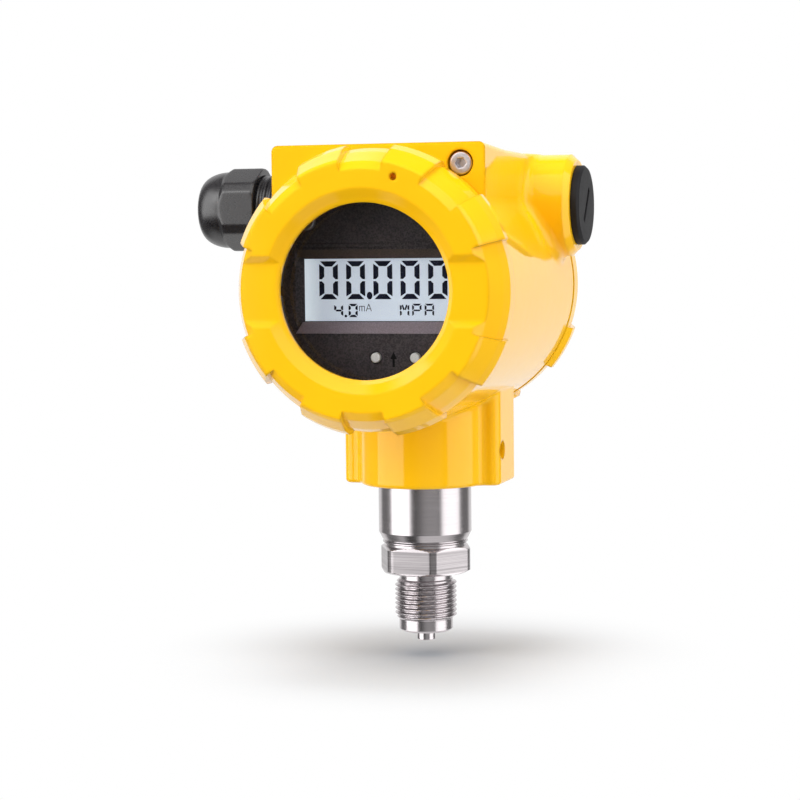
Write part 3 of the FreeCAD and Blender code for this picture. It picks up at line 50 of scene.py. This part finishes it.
# Places on the solids: the drum's axis, the faces of the panel and of its frame, the cable entries
AXIS_HEIGHT = 114.6
LCD_FACE = -41.0
FRAME_FACE = -43.5
GLAND_START = -47.5
ENTRY_DEPTH = 16.5
ENTRY_HEIGHT = 140.1

# Camera, with its angles in degrees and its focal length in pixels
CAMERA_PLACE = (198.01, -686.92, 130.52)
HEADING = 16.7
TILT = 4.2
ROLL = -0.63
FOCAL_PIXELS = 2220.65
IMAGE_PIXELS = 800
SENSOR_WIDTH = 36

# Steepest turn of a surface that is shaded smooth, in degrees
SMOOTH_TURN = 24


# Camera

def look():
    """The photograph's camera, from its place, heading, downward tilt and roll."""
    heading = math.radians(HEADING)
    tilt = math.radians(TILT)
    roll = math.radians(ROLL)
    ahead = Vector((-math.sin(heading) * math.cos(tilt), math.cos(heading) * math.cos(tilt), -math.sin(tilt)))
    level = Vector((math.cos(heading), math.sin(heading), 0))
    upright = level.cross(ahead)
    right = level * math.cos(roll) + upright * math.sin(roll)
    up = upright * math.cos(roll) - level * math.sin(roll)
    turn = Matrix((right, up, -ahead)).transposed().to_4x4()
    data = bpy.data.cameras.new("camera")
    data.sensor_width = SENSOR_WIDTH
    data.lens = SENSOR_WIDTH * FOCAL_PIXELS / IMAGE_PIXELS
    data.clip_start = 0.01
    data.clip_end = 50
    camera = bpy.data.objects.new("camera", data)
    camera.matrix_world = Matrix.Translation(Vector(CAMERA_PLACE) * MM) @ turn
    bpy.context.collection.objects.link(camera)
    bpy.context.scene.camera = camera


look()
bpy.context.scene.view_settings.view_transform = "Standard"


# Materials

class Link:
    """A node's output, with operators that add the Math nodes of an expression."""

    def __init__(self, tree, socket):
        self.tree = tree
        self.socket = socket

    def math(self, operation, a, b=0.0):
        return self.tree.node("Math", {0: a, 1: b}, operation=operation)

    def __add__(self, other):
        return self.math("ADD", self, other)

    def __sub__(self, other):
        return self.math("SUBTRACT", self, other)

    def __mul__(self, other):
        return self.math("MULTIPLY", self, other)

    def __rsub__(self, other):
        return self.math("SUBTRACT", other, self)

    def __abs__(self):
        return self.math("ABSOLUTE", self)

    __radd__ = __add__


class Tree:
    """A material's or the world's nodes."""

    def __init__(self, owner):
        owner.use_nodes = True
        self.tree = owner.node_tree
        self.tree.nodes.clear()

    def node(self, kind, inputs=None, output=0, **settings):
        """Adds a node: its settings first, then the values or links of its sockets."""
        made = self.tree.nodes.new("ShaderNode" + kind)
        for name, value in settings.items():
            setattr(made, name, value)
        for name, value in (inputs or {}).items():
            if isinstance(value, Link):
                self.tree.links.new(value.socket, made.inputs[name])
            else:
                made.inputs[name].default_value = value
        return Link(self, made.outputs[output]) if output is not None else made

    def place(self):
        return self.node("TexCoord", output="Object")

    def stretched(self, scale):
        return self.node("Mapping", {"Vector": self.place(), "Scale": scale})

    def noise(self, scale, detail=2.0, vector=None, rough=0.5):
        """Noise from 0 to 1, a number of waves to the metre."""
        vector = vector or self.place()
        inputs = {"Vector": vector, "Scale": scale, "Detail": detail, "Roughness": rough}
        return self.node("TexNoise", inputs)

    def smooth(self, value, low, high):
        """0 below low, 1 above high, and a soft step between."""
        return self.node("MapRange", {"Value": value, "From Min": low, "From Max": high},
                         interpolation_type="SMOOTHSTEP")

    def mixed(self, factor, a, b):
        return self.node("Mix", {0: factor, 6: a, 7: b}, output=2, data_type="RGBA")

    def bump(self, height, depth, normal=None):
        """A bump of the height's pattern, so many metres deep."""
        inputs = {"Height": height, "Strength": 1.0, "Distance": depth}
        if normal:
            inputs["Normal"] = normal
        return self.node("Bump", inputs)

    def rounded(self, radius):
        """The surface's normal with its edges rounded."""
        return self.node("Bevel", {"Radius": radius}, samples=6)

    def rays(self):
        """Whether the ray comes from the camera, from a mirror or through glass."""
        kinds = ("Camera", "Glossy", "Transmission")
        return [self.node("LightPath", output=f"Is {kind} Ray") for kind in kinds]


def colour(red, green, blue):
    """A colour as written in eight bits, made linear."""
    parts = [part / 255 for part in (red, green, blue)]
    linear = [part / 12.92 if part < 0.04045 else ((part + 0.055) / 1.055) ** 2.4 for part in parts]
    return (*linear, 1)


def tinted(tint, factor, shift=0):
    return colour(*(part * factor + shift for part in tint))


def finish_of(name, constants, pattern):
    """A material whose shader gets the constants and what the pattern works out."""
    material = bpy.data.materials.new(name)
    tree = Tree(material)
    shader = tree.node("BsdfPrincipled", {**constants, **pattern(tree)})
    tree.node("OutputMaterial", {"Surface": shader}, output=None)
    return material


def enamel():
    """Thick glossy enamel: faint flow marks, and edges drawn round as paint draws them."""
    def pattern(tree):
        patches = tree.noise(60, 3)
        tone = tree.mixed(patches, colour(255, 190, 5), colour(255, 198, 8))
        flow = tree.noise(420, 1.0)
        normal = tree.bump(flow, 0.000010, tree.rounded(0.0016))
        return {"Base Color": tone, "Normal": normal, "Roughness": 0.45 + tree.noise(300) * 0.1}
    coat = {"Coat Weight": 1.0, "Coat Roughness": 0.04, "Coat IOR": 1.36}
    return finish_of("enamel", {**coat, "Specular IOR Level": 0.08}, pattern)


# Heights over which the hexagon's milled finish comes and goes
HEX_FOOT = (0.0229, 0.0233)
HEX_HEAD = (0.0300, 0.0304)


def turned_steel(name, tint, rough, lines, depth):
    """Machined metal: turning lines round the fitting's axis, duller where the hexagon is milled."""
    def pattern(tree):
        fine = tree.noise(1.0, 3, tree.stretched((25, 25, lines)), 0.6)
        broad = tree.noise(1.0, 2, tree.stretched((60, 60, lines / 4)), 0.6)
        rings = fine * 0.5 + broad * 0.5
        tone = tree.mixed(rings, tinted(tint, 1, -24), tinted(tint, 1, 8))
        rise = tree.node("SeparateXYZ", {0: tree.place()}, output="Z")
        milled = tree.smooth(rise, *HEX_FOOT) * (1 - tree.smooth(rise, *HEX_HEAD))
        streaks = tree.smooth(fine, 0.35, 0.65)
        dull = tree.mixed(streaks, tinted(tint, 0.7), tinted(tint, 0.9))
        return {"Base Color": tree.mixed(milled, tone, dull), "Normal": tree.bump(rings, depth),
                "Roughness": rough + rings * 0.14 + milled * 0.06}
    return finish_of(name, {"Metallic": 1.0}, pattern)


def screw_steel():
    """Bright screws with fine scratches."""
    def pattern(tree):
        scratch = tree.noise(1400, 4)
        return {"Base Color": tree.mixed(scratch, colour(190, 184, 189), colour(232, 228, 231)),
                "Roughness": 0.28 + scratch * 0.12,
                "Normal": tree.bump(scratch, 0.000003, tree.rounded(0.0006))}
    return finish_of("screw_steel", {"Metallic": 1.0}, pattern)


def moulded(name, dark, light, rough, grain, depth, rounding, gloss=0.5):
    """Moulded plastic or rubber: an even eroded grain and slightly uneven gloss.

    The grain is a number to the metre, its depth and the rounding of edges are in metres.
    """
    def pattern(tree):
        fine = tree.smooth(tree.noise(grain, 2), 0.3, 0.7)
        broad = tree.noise(120, 2)
        return {"Base Color": tree.mixed(fine * 0.6 + broad * 0.4, colour(*dark), colour(*light)),
                "Roughness": rough + broad * 0.12 + fine * 0.06,
                "Normal": tree.bump(fine, depth, tree.rounded(rounding))}
    return finish_of(name, {"Specular IOR Level": gloss}, pattern)


def liquid_crystal():
    """Grey-blue polariser with faint mottling, and a painted glow: the panel emits painted light over its
    whole face, paler towards its left edge.
    """
    def pattern(tree):
        along = tree.node("SeparateXYZ", {0: tree.place()}, output="X")
        # Painted light: the emitted glow stands in for light on the panel and is paler towards the left edge.
        edge = 1 - tree.smooth(along, -0.0265, -0.0185)
        tone = tree.mixed(tree.noise(90, 2), colour(188, 197, 210), colour(199, 207, 218))
        glow = tree.mixed(edge, colour(157, 163, 175), colour(197, 206, 214))
        return {"Base Color": tone, "Emission Color": glow, "Roughness": 0.3 + tree.noise(500) * 0.06}
    return finish_of("liquid_crystal", {"Specular IOR Level": 0.2, "Emission Strength": 1.0}, pattern)


def pane():
    """Clear glass that lets light through to the display."""
    material = bpy.data.materials.new("pane")
    tree = Tree(material)
    smear = tree.noise(70, 2)
    glass = tree.node("BsdfPrincipled", {
        "Base Color": (0.97, 0.99, 0.98, 1), "Transmission Weight": 1.0, "IOR": 1.45,
        "Roughness": smear * 0.012})
    clear = tree.node("BsdfTransparent")
    shadow = tree.node("LightPath", output="Is Shadow Ray")
    both = tree.node("MixShader", {0: shadow, 1: glass, 2: clear})
    tree.node("OutputMaterial", {"Surface": both}, output=None)
    return material


def circuit_board():
    """Green board with its tracks drawn as a net of cells."""
    def pattern(tree):
        net = tree.node("TexVoronoi", {"Vector": tree.place(), "Scale": 420.0}, output="Distance",
                        feature="DISTANCE_TO_EDGE")
        tracks = tree.smooth(net, 0.03, 0.06)
        return {"Base Color": tree.mixed(tracks, colour(70, 120, 64), colour(18, 74, 44)),
                "Roughness": 0.3 + tree.noise(600) * 0.15,
                "Normal": tree.bump(tracks, 0.00003)}
    return finish_of("circuit_board", {"Coat Weight": 0.3}, pattern)


FINISHES = {
    "enamel": enamel(),
    "stainless": turned_steel("stainless", (200, 194, 196), 0.17, 6400, 0.000004),
    "bright_steel": screw_steel(),
    "black_plastic": moulded("black_plastic", (30, 23, 25), (90, 78, 82), 0.5, 1900, 0.000012, 0.0003, 0.3),
    "gland_nylon": moulded("gland_nylon", (24, 22, 24), (35, 33, 36), 0.2, 1500, 0.000004, 0.0005, 0.85),
    "plug_plastic": moulded("plug_plastic", (19, 19, 21), (31, 30, 33), 0.5, 1800, 0.00001, 0.0006, 0.25),
    "black_rubber": moulded("black_rubber", (16, 16, 17), (26, 26, 27), 0.6, 1500, 0.00002, 0.0003),
    "clear_glass": pane(),
    "lcd_glass": liquid_crystal(),
    "key_plastic": moulded("key_plastic", (246, 240, 238), (254, 250, 248), 0.35, 1500, 0.00001, 0.0004),
    "board": circuit_board(),
    "potting": moulded("potting", (24, 24, 26), (38, 38, 40), 0.45, 900, 0.00003, 0.0004),
    "lead_cover": moulded("lead_cover", (28, 28, 30), (44, 44, 46), 0.5, 1500, 0.00002, 0.0003),
    "terminal_plastic": moulded("terminal_plastic", (26, 26, 28), (40, 40, 43), 0.4, 1700, 0.00002, 0.0003),
    "brass_plate": turned_steel("brass_plate", (214, 186, 128), 0.25, 2600, 0.00001),
}
for part in frame["record"]["subparts"]:
    slots = nodes[part["node"]].data.materials
    slots.clear()
    slots.append(FINISHES[part["material_slot"]])


# Mesh from arrays

def mesh_piece(name, points, faces, body, slot):
    """An object from an array of points in millimetres and its faces, riding on a body."""
    mesh = bpy.data.meshes.new(name)
    mesh.from_pydata((np.asarray(points, float) * MM).tolist(), [], [list(map(int, f)) for f in faces])
    mesh.shade_smooth()
    mesh.set_sharp_from_angle(angle=math.radians(SMOOTH_TURN))
    mesh.update()
    piece = bpy.data.objects.new(name, mesh)
    bpy.context.collection.objects.link(piece)
    piece.data.materials.append(FINISHES[slot])
    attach(piece, body)
    return piece


def grid_faces(rows, columns):
    """Quads of a grid closed both ways: rows follow a closed outline, columns go round."""
    i, j = np.meshgrid(np.arange(rows), np.arange(columns), indexing="ij")
    down, right = (i + 1) % rows, (j + 1) % columns
    corners = (i * columns + j, i * columns + right, down * columns + right, down * columns + j)
    return np.stack(corners, -1).reshape(-1, 4)


def outline(corners, cuts):
    """Points along a closed outline; sides within a cut's low and high heights get its short rises."""
    corners = np.asarray(corners, float)
    found = []
    for start, end in zip(corners, np.roll(corners, -1, 0)):
        bottom, top = sorted((start[1], end[1]))
        steps = [step for step, low, high in cuts if low <= bottom and top <= high]
        count = max(1, math.ceil((top - bottom) / steps[0])) if steps else 1
        share = np.arange(count)[:, None] / count
        found.append(start + (end - start) * share)
    return np.concatenate(found)


def swept(name, corners, cuts, columns, carve, place, body, slot):
    """A closed outline of (radius, height) swept round an axis.

    Point (i, j) lies at height i of the outline and angle j, at the radius that carve gives for
    the outline's radius, that height and that angle; place turns local x, y, z into the frame's.
    """
    shape = outline(corners, cuts)
    angle = np.arange(columns) * 2 * math.pi / columns
    height = shape[:, 1:] + 0 * angle
    radius = carve(shape[:, :1] + 0 * angle, height, angle)
    points = place(radius * np.cos(angle), radius * np.sin(angle), height)
    return mesh_piece(name, np.stack(points, -1).reshape(-1, 3), grid_faces(*radius.shape), body, slot)


def folded(angle, turn, share):
    """The angle from the nearest of evenly spaced flats, in radians."""
    away = (angle - math.radians(turn)) % share
    return np.minimum(away, share - away)


def smaller(a, b, blend):
    """The smaller of two arrays, eased over the blend: (a + b - sqrt((a - b)^2 + blend^2)) / 2."""
    return (a + b - np.sqrt((a - b) ** 2 + blend ** 2)) / 2


# Process fitting with its thread

def fitting_skin():
    """Turned outline swept round Z; radius = the outline's, less the thread's groove, cut by six flats.

    The groove at height z and angle a is depth * w((z - pitch * a / turn) / pitch), where turn is a
    full turn and w is half a cosine from crest to root and back. It fades out at both ends.
    """
    corners = [
        # Spigot, tip, thread and relief
        (1.6, 0), (2.7, 0), (3.0, 0.3), (3.0, 3.2), (8.0, 3.2), (8.7, 3.9), (8.7, 7.1), (10.0, 8.3),
        (10.0, 19.0), (8.5, 20.2), (8.5, 22.4),
        # Hexagon
        (13.5, 22.4), (15.0, 23.3), (15.0, 30.3), (13.5, 31.2),
        # Marking groove and bar
        (13.3, 31.3), (13.3, 31.95), (13.75, 32.3), (13.75, 32.6), (13.3, 32.95), (13.3, 33.15),
        (13.85, 33.4), (15.0, 35.66), (15.0, 54.2),
        # Shank and bore
        (13.0, 54.2), (13.0, 72.2), (10.5, 72.2), (10.5, 41.2), (1.6, 41.2),
    ]
    cuts = [(0.08, 7.0, 20.3), (0.12, 22.3, 31.3)]
    pitch, depth = 1.5, 0.88
    thread_foot, thread_head, root_radius = 7.1, 20.2, 8.5
    groove_start, groove_end, fade = 7.3, 20.0, 0.9
    hex_foot, hex_head, half_across, hex_turn, bore_radius = 22.4, 31.2, 13.5, 26, 10.5

    def carve(radius, height, angle):
        wave = np.abs(((height - pitch * angle / (2 * math.pi)) / pitch) % 1 * 2 - 1)
        groove = (0.5 - 0.5 * np.cos(math.pi * np.clip(wave * 1.1 - 0.05, 0, 1))) * depth
        groove = groove * np.clip((height - groove_start) / fade, 0, 1)
        groove = groove * np.clip((groove_end - height) / fade, 0, 1)
        threaded = (height > thread_foot) & (height < thread_head) & (radius > root_radius)
        radius = np.where(threaded, radius - groove, radius)
        flat = half_across / np.cos(folded(angle, hex_turn, math.pi / 3))
        milled = (height >= hex_foot) & (height <= hex_head) & (radius > bore_radius)
        return np.where(milled, smaller(radius, flat + 0 * radius, 0.05), radius)

    def place(x, y, z):
        return x, y, z

    piece = swept("fitting_skin", corners, cuts, 288, carve, place, "fitting", "stainless")
    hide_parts("process_fitting")


fitting_skin()


# Gland nut

def gland_cap():
    """Domed nut: radius = the smaller of twelve flats, six wide and six narrow, and the dome.

    The dome's radius falls by a short bevel from the corners to the wide flats, and on by a
    quarter of an ellipse to the mouth.
    """
    corners = [
        (11.35, 11.9), (12.6, 11.9), (14.5, 11.95), (14.5, 32.75), (7.6, 32.8), (6.6, 32.8), (6.6, 30.6),
        (9.3, 30.6), (10.1, 27.3), (11.35, 23.5),
    ]

    wide, narrow, turn = 12.8, 13.8, 32
    dome_start, dome_length, mouth, dome_swell = 24.0, 8.9, 8.0, 4.75
    bevel_heights, bevel_radii = [11.9, 13.0, 22.3, 24.0], [13.4, 14.5, 14.1, 12.75]

    def carve(radius, height, angle):
        away = folded(angle, turn, math.pi / 3)
        facets = smaller(wide / np.cos(away), narrow / np.cos(math.pi / 6 - away), 0.12)
        bevel = np.interp(height, bevel_heights, bevel_radii)
        dome = mouth + dome_swell * np.sqrt(np.clip(1 - ((height - dome_start) / dome_length) ** 2, 0, 1))
        skin = smaller(facets, np.where(height < dome_start, bevel, dome), 0.15)
        return np.minimum(radius, skin)

    def place(x, y, z):
        return GLAND_START - z, ENTRY_DEPTH + y, ENTRY_HEIGHT + x

    piece = swept("gland_cap", corners, [(0.3, 11.0, 33.0)], 216, carve, place, "gland_nut", "gland_nylon")
    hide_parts("gland_nut")


gland_cap()


# Blanking plug

SLOT_TURN = 53.6


def turned_plug():
    """The plug's own surface, turned about its axis until the slot stands at the photograph's angle.

    Each point (y, z) from the axis goes to (y cos t - z sin t, y sin t + z cos t).
    """
    turn = math.radians(SLOT_TURN)
    mesh = nodes["blanking_plug"].data.copy()
    points = np.empty(len(mesh.vertices) * 3)
    mesh.vertices.foreach_get("co", points)
    points = points.reshape(-1, 3)
    centre = np.array([0, ENTRY_DEPTH, ENTRY_HEIGHT]) * MM
    y, z = (points - centre)[:, 1], (points - centre)[:, 2]
    across = y * math.cos(turn) - z * math.sin(turn)
    upward = y * math.sin(turn) + z * math.cos(turn)
    points[:, 1:] = np.stack([across, upward], -1) + centre[1:]
    mesh.vertices.foreach_set("co", points.ravel())
    mesh.update()
    piece = bpy.data.objects.new("turned_plug", mesh)
    bpy.context.collection.objects.link(piece)
    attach(piece, "plug")
    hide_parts("blanking_plug")


turned_plug()


# Marks of the display

MARK_THICKNESS = 0.06


def flat_marks(name, loops, face, ink):
    """Thin raised shapes on a face that looks along -Y: each loop is a list of (x, height) in mm."""
    points, faces = [], []
    for loop in loops:
        start, count = len(points), len(loop)
        for lift in (0.0, MARK_THICKNESS):
            points += [(x, face - lift, AXIS_HEIGHT + rise) for x, rise in loop]
        near = list(range(start + count, start + 2 * count))
        far = list(range(start + count - 1, start - 1, -1))
        faces += [near, far]
        faces += [[start + k, start + (k + 1) % count, start + count + (k + 1) % count, start + count + k]
                  for k in range(count)]
    mesh = bpy.data.meshes.new(name)
    mesh.from_pydata([[part * MM for part in point] for point in points], [], faces)
    mesh.update()
    piece = bpy.data.objects.new(name, mesh)
    bpy.context.collection.objects.link(piece)
    piece.data.materials.append(ink)
    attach(piece, "housing")


def digit(left, low, width, height, bar, lit, gap):
    """Seven-segment digit as bevelled bars. Segments: a top, b c right, d low, e f left, g middle."""
    right, high, middle = left + width, low + height, low + height / 2
    shapes = {
        "a": [(left + gap, high), (right - gap, high), (right - bar - gap, high - bar),
              (left + bar + gap, high - bar)],
        "d": [(left + bar + gap, low + bar), (right - bar - gap, low + bar), (right - gap, low),
              (left + gap, low)],
        "f": [(left, high - gap - bar * 0.35), (left + bar, high - bar - gap),
              (left + bar, middle + gap + bar * 0.5), (left + bar * 0.5, middle + gap), (left, middle + gap)],
        "e": [(left, middle - gap), (left + bar * 0.5, middle - gap), (left + bar, middle - gap - bar * 0.5),
              (left + bar, low + bar + gap), (left, low + gap + bar * 0.35)],
        "g": [(left + bar * 0.6, middle), (left + bar, middle + bar * 0.4),
              (right - bar, middle + bar * 0.4), (right - bar * 0.6, middle),
              (right - bar, middle - bar * 0.4), (left + bar, middle - bar * 0.4)],
    }
    for name, source in (("b", "f"), ("c", "e")):
        shapes[name] = [(left + right - x, z) for x, z in reversed(shapes[source])]
    return [shapes[key][::-1] for key in lit]


def disc(x, z, radius_x, radius_z, count=24):
    """An ellipse round (x, z)."""
    turn = [2 * math.pi * k / count for k in range(count)]
    return [(x + radius_x * math.cos(t), z + radius_z * math.sin(t)) for t in turn]


def stroke(x0, z0, x1, z1, width):
    """A straight bar from one point to another."""
    along = np.array([x1 - x0, z1 - z0], float)
    side = np.array([-along[1], along[0]]) / np.hypot(*along) * width / 2
    a, b = np.array([x0, z0]), np.array([x1, z1])
    return [tuple(a - side), tuple(b - side), tuple(b + side), tuple(a + side)]


def counter(loop):
    """The loop turned anticlockwise."""
    area = sum(a[0] * b[1] - b[0] * a[1] for a, b in zip(loop, loop[1:] + loop[:1]))
    return loop if area > 0 else loop[::-1]


def display_marks():
    """What the panel shows: five large digits with a point, a small value, and both units."""
    loops = []
    # The large digits and their point
    for left in (-20.5, -11.85, -3.2, 5.4, 14.1):
        loops += digit(left, -2.85, 6.0, 11.6, 1.6, "abcdef", 0.3)
    loops.append(disc(-4.45, -1.75, 0.9, 1.15))
    # The small value, 4.0, and its unit
    loops += digit(-15.85, -8.3, 2.9, 4.05, 0.72, "fgbc", 0.14)
    loops.append(disc(-12.1, -7.95, 0.42, 0.42, 12))
    loops += digit(-11.2, -8.3, 2.9, 4.05, 0.72, "abcdef", 0.14)
    thin = 0.2
    for x in (-7.75, -6.95, -6.15):
        loops.append(stroke(x, -6.5, x, -4.95, thin))
    loops.append(stroke(-7.75, -5.0, -6.15, -5.0, thin))
    loops += [stroke(-5.6, -6.5, -4.75, -4.3, thin), stroke(-4.75, -4.3, -3.95, -6.5, thin),
              stroke(-5.25, -5.75, -4.3, -5.75, thin)]
    # The unit of the large digits
    for left, lit in ((8.95, "abefg"), (12.9, "abcefg")):
        loops += digit(left, -8.25, 2.95, 4.0, 0.58, lit, 0.14)
    loops += digit(5.1, -8.25, 2.95, 4.0, 0.58, "bcef", 0.14)
    loops += [stroke(5.85, -4.6, 6.4, -6.1, 0.5), stroke(7.3, -4.6, 6.75, -6.1, 0.5)]
    ink = finish_of("segment_ink", {"Roughness": 0.5, "Specular IOR Level": 0.1}, lambda tree: {
        "Base Color": tree.mixed(tree.noise(160), colour(10, 12, 38), colour(24, 28, 56))})
    flat_marks("display_segments", [counter(loop) for loop in loops], LCD_FACE, ink)


display_marks()


def sill(name, side, reach, painted_light_tones):
    """Wedge along the panel's lower or upper edge, sloping forward away from the panel, its ends mitred, in
    paler tones of the black plastic that are painted light.
    """
    inner, inner_depth, start = 25.4, -42.9, 9.75
    outer, outer_depth = 27.3, -44.0
    slope = [(-inner, inner_depth, start), (inner, inner_depth, start), (outer, outer_depth, reach),
             (-outer, outer_depth, reach)]
    front = np.array([(x, y, AXIS_HEIGHT + side * z) for x, y, z in slope])
    back = front + [(0, 1.1, 0), (0, 1.1, 0), (0, 0.7, 0), (0, 0.7, 0)]
    faces = [(3, 2, 1, 0), (4, 5, 6, 7), (0, 1, 5, 4), (1, 2, 6, 5), (2, 3, 7, 6), (3, 0, 4, 7)]
    if side > 0:
        faces = [face[::-1] for face in faces]
    piece = mesh_piece(name, np.concatenate([front, back]), faces, "housing", "black_plastic")
    # Painted light: the wedge gets paler tones than the bezel's black plastic, for the light it catches.
    piece.data.materials[0] = moulded(name, *painted_light_tones, 0.4, 2200, 0.000006, 0.0001, 0.3)


# The sill and the lintel are lit copies of the bezel's black plastic: their paler tones are painted light.
sill("display_sill", -1, 13.2, ((136, 119, 130), (162, 146, 156)))
sill("display_lintel", 1, 12.3, ((66, 53, 49), (92, 75, 69)))


def key_arrow():
    """Moulded up-arrow between the two keys."""
    arrow = [(3.35, -23.3), (4.05, -23.3), (4.05, -20.9), (4.75, -20.9), (3.7, -18.7), (2.65, -20.9),
             (3.35, -20.9)]
    ink = finish_of("arrow_ink", {"Roughness": 0.4, "Specular IOR Level": 0.05}, lambda tree: {
        "Base Color": tree.mixed(tree.noise(300), colour(3, 3, 3), colour(8, 7, 8))})
    flat_marks("key_arrow", [counter(arrow)], FRAME_FACE, ink)


key_arrow()


# Floor, world and light

FLOOR_RADIUS = 140
FLOOR_HEIGHT = -5.0
FLOOR_CORNERS = 96


def floor():
    """A round pale floor a little below the port, white where it is open, with the object's soft shadow from
    the lamps and a painted shadow that darkens its colour under the object.
    """
    turn = np.arange(FLOOR_CORNERS) * 2 * math.pi / FLOOR_CORNERS
    points = np.stack([FLOOR_RADIUS * np.cos(turn), FLOOR_RADIUS * np.sin(turn),
                       np.full(FLOOR_CORNERS, FLOOR_HEIGHT)], -1) * MM
    mesh = bpy.data.meshes.new("floor")
    mesh.from_pydata(points.tolist(), [], [list(range(FLOOR_CORNERS))])
    piece = bpy.data.objects.new("floor", mesh)
    bpy.context.collection.objects.link(piece)
    material = bpy.data.materials.new("floor")
    tree = Tree(material)
    # Painted shadow: ambient occlusion darkens the floor's colour close under the object.
    near = tree.node("AmbientOcclusion", {"Distance": 0.035}, output="AO")
    tone = tree.mixed(tree.smooth(near, 0.35, 1.0), (0.3, 0.31, 0.33, 1), (0.6, 0.62, 0.65, 1))
    shade = tree.node("BsdfDiffuse", {"Color": tone})
    seen, mirrored, through = tree.rays()
    glow = tree.node("Emission", {"Color": (1, 1, 1, 1), "Strength": 0.05})
    nothing = tree.node("Emission", {"Strength": 0.0})
    lit = tree.node("MixShader", {0: seen + mirrored + through, 1: nothing, 2: glow})
    both = tree.node("AddShader", {0: shade, 1: lit})
    away = tree.node("VectorMath", {0: tree.place()}, output="Value", operation="LENGTH")
    white = tree.node("Emission", {"Color": (1, 1, 1, 1), "Strength": 1.0})
    faded = tree.node("MixShader", {0: tree.smooth(away, 0.015, 0.1) * seen, 1: both, 2: white})
    unmirrored = tree.node("MixShader", {0: mirrored, 1: faded, 2: tree.node("BsdfTransparent")})
    tree.node("OutputMaterial", {"Surface": unmirrored}, output=None)
    mesh.materials.append(material)


def studio():
    """White behind the object, dim in front of it, and soft boxes by direction.

    Around is the angle from the camera's heading and rise the angle above the floor, in degrees.
    """
    world = bpy.data.worlds.new("studio")
    bpy.context.scene.world = world
    tree = Tree(world)
    toward = tree.node("TexCoord", output="Generated")
    parts = {axis: tree.node("SeparateXYZ", {0: toward}, output=axis) for axis in "XYZ"}
    degrees = 180 / math.pi
    around = parts["X"].math("ARCTAN2", parts["X"], 0.0 - parts["Y"]) * degrees - HEADING
    rise = parts["Z"].math("ARCSINE", parts["Z"]) * degrees

    def window(value, low, high, soft):
        return tree.smooth(value, low - soft, low + soft) * (1 - tree.smooth(value, high - soft, high + soft))

    left = window(around, -93, -38.2, 1.6) * window(rise, -16, 48, 6)
    right = window(around, 41, 94, 3) * window(rise, -40, 48, 6)
    upper = window(rise, 22, 70, 4) * window(around, -60, 45, 8)
    sides = window(abs(around), 93, 136, 2)
    below = (1 - tree.smooth(rise, -52, -42)) * (1 - window(around, -75, -26, 6))
    above = tree.smooth(rise, 60, 70)
    front = tree.smooth(around, -30, 5) * (1 - tree.smooth(around, 26, 38)) * window(rise, -42, 25, 6)
    behind = tree.smooth(abs(around), 134, 142) * window(rise, -50, 50, 8)
    boxes = [(left, 2.8), (right, 2.05), (upper, 1.5), (above, 0.3), (front, 0.38), (sides, 0.16),
             (behind, 1.1), (below, 0.85)]
    light = 0.05
    for box, strength in boxes:
        light = light + box * strength
    soft = tree.node("Background", {"Color": (1, 1, 1, 1), "Strength": light})
    white = tree.node("Background", {"Color": (1, 1, 1, 1), "Strength": 1.0})
    seen, mirrored, through = tree.rays()
    both = tree.node("MixShader", {0: seen + (mirrored + through) * behind, 1: soft, 2: white})
    tree.node("OutputWorld", {"Surface": both}, output=None)


def overhead():
    """A soft lamp straight above, whose shadow of the object lies on the floor."""
    lamp = bpy.data.lights.new("overhead", "AREA")
    lamp.shape = "DISK"
    lamp.size = 0.42
    lamp.energy = 5.0
    held = bpy.data.objects.new("overhead", lamp)
    held.location = (0, 0, 1.0)
    held.visible_glossy = False
    bpy.context.collection.objects.link(held)


floor()
studio()
overhead()
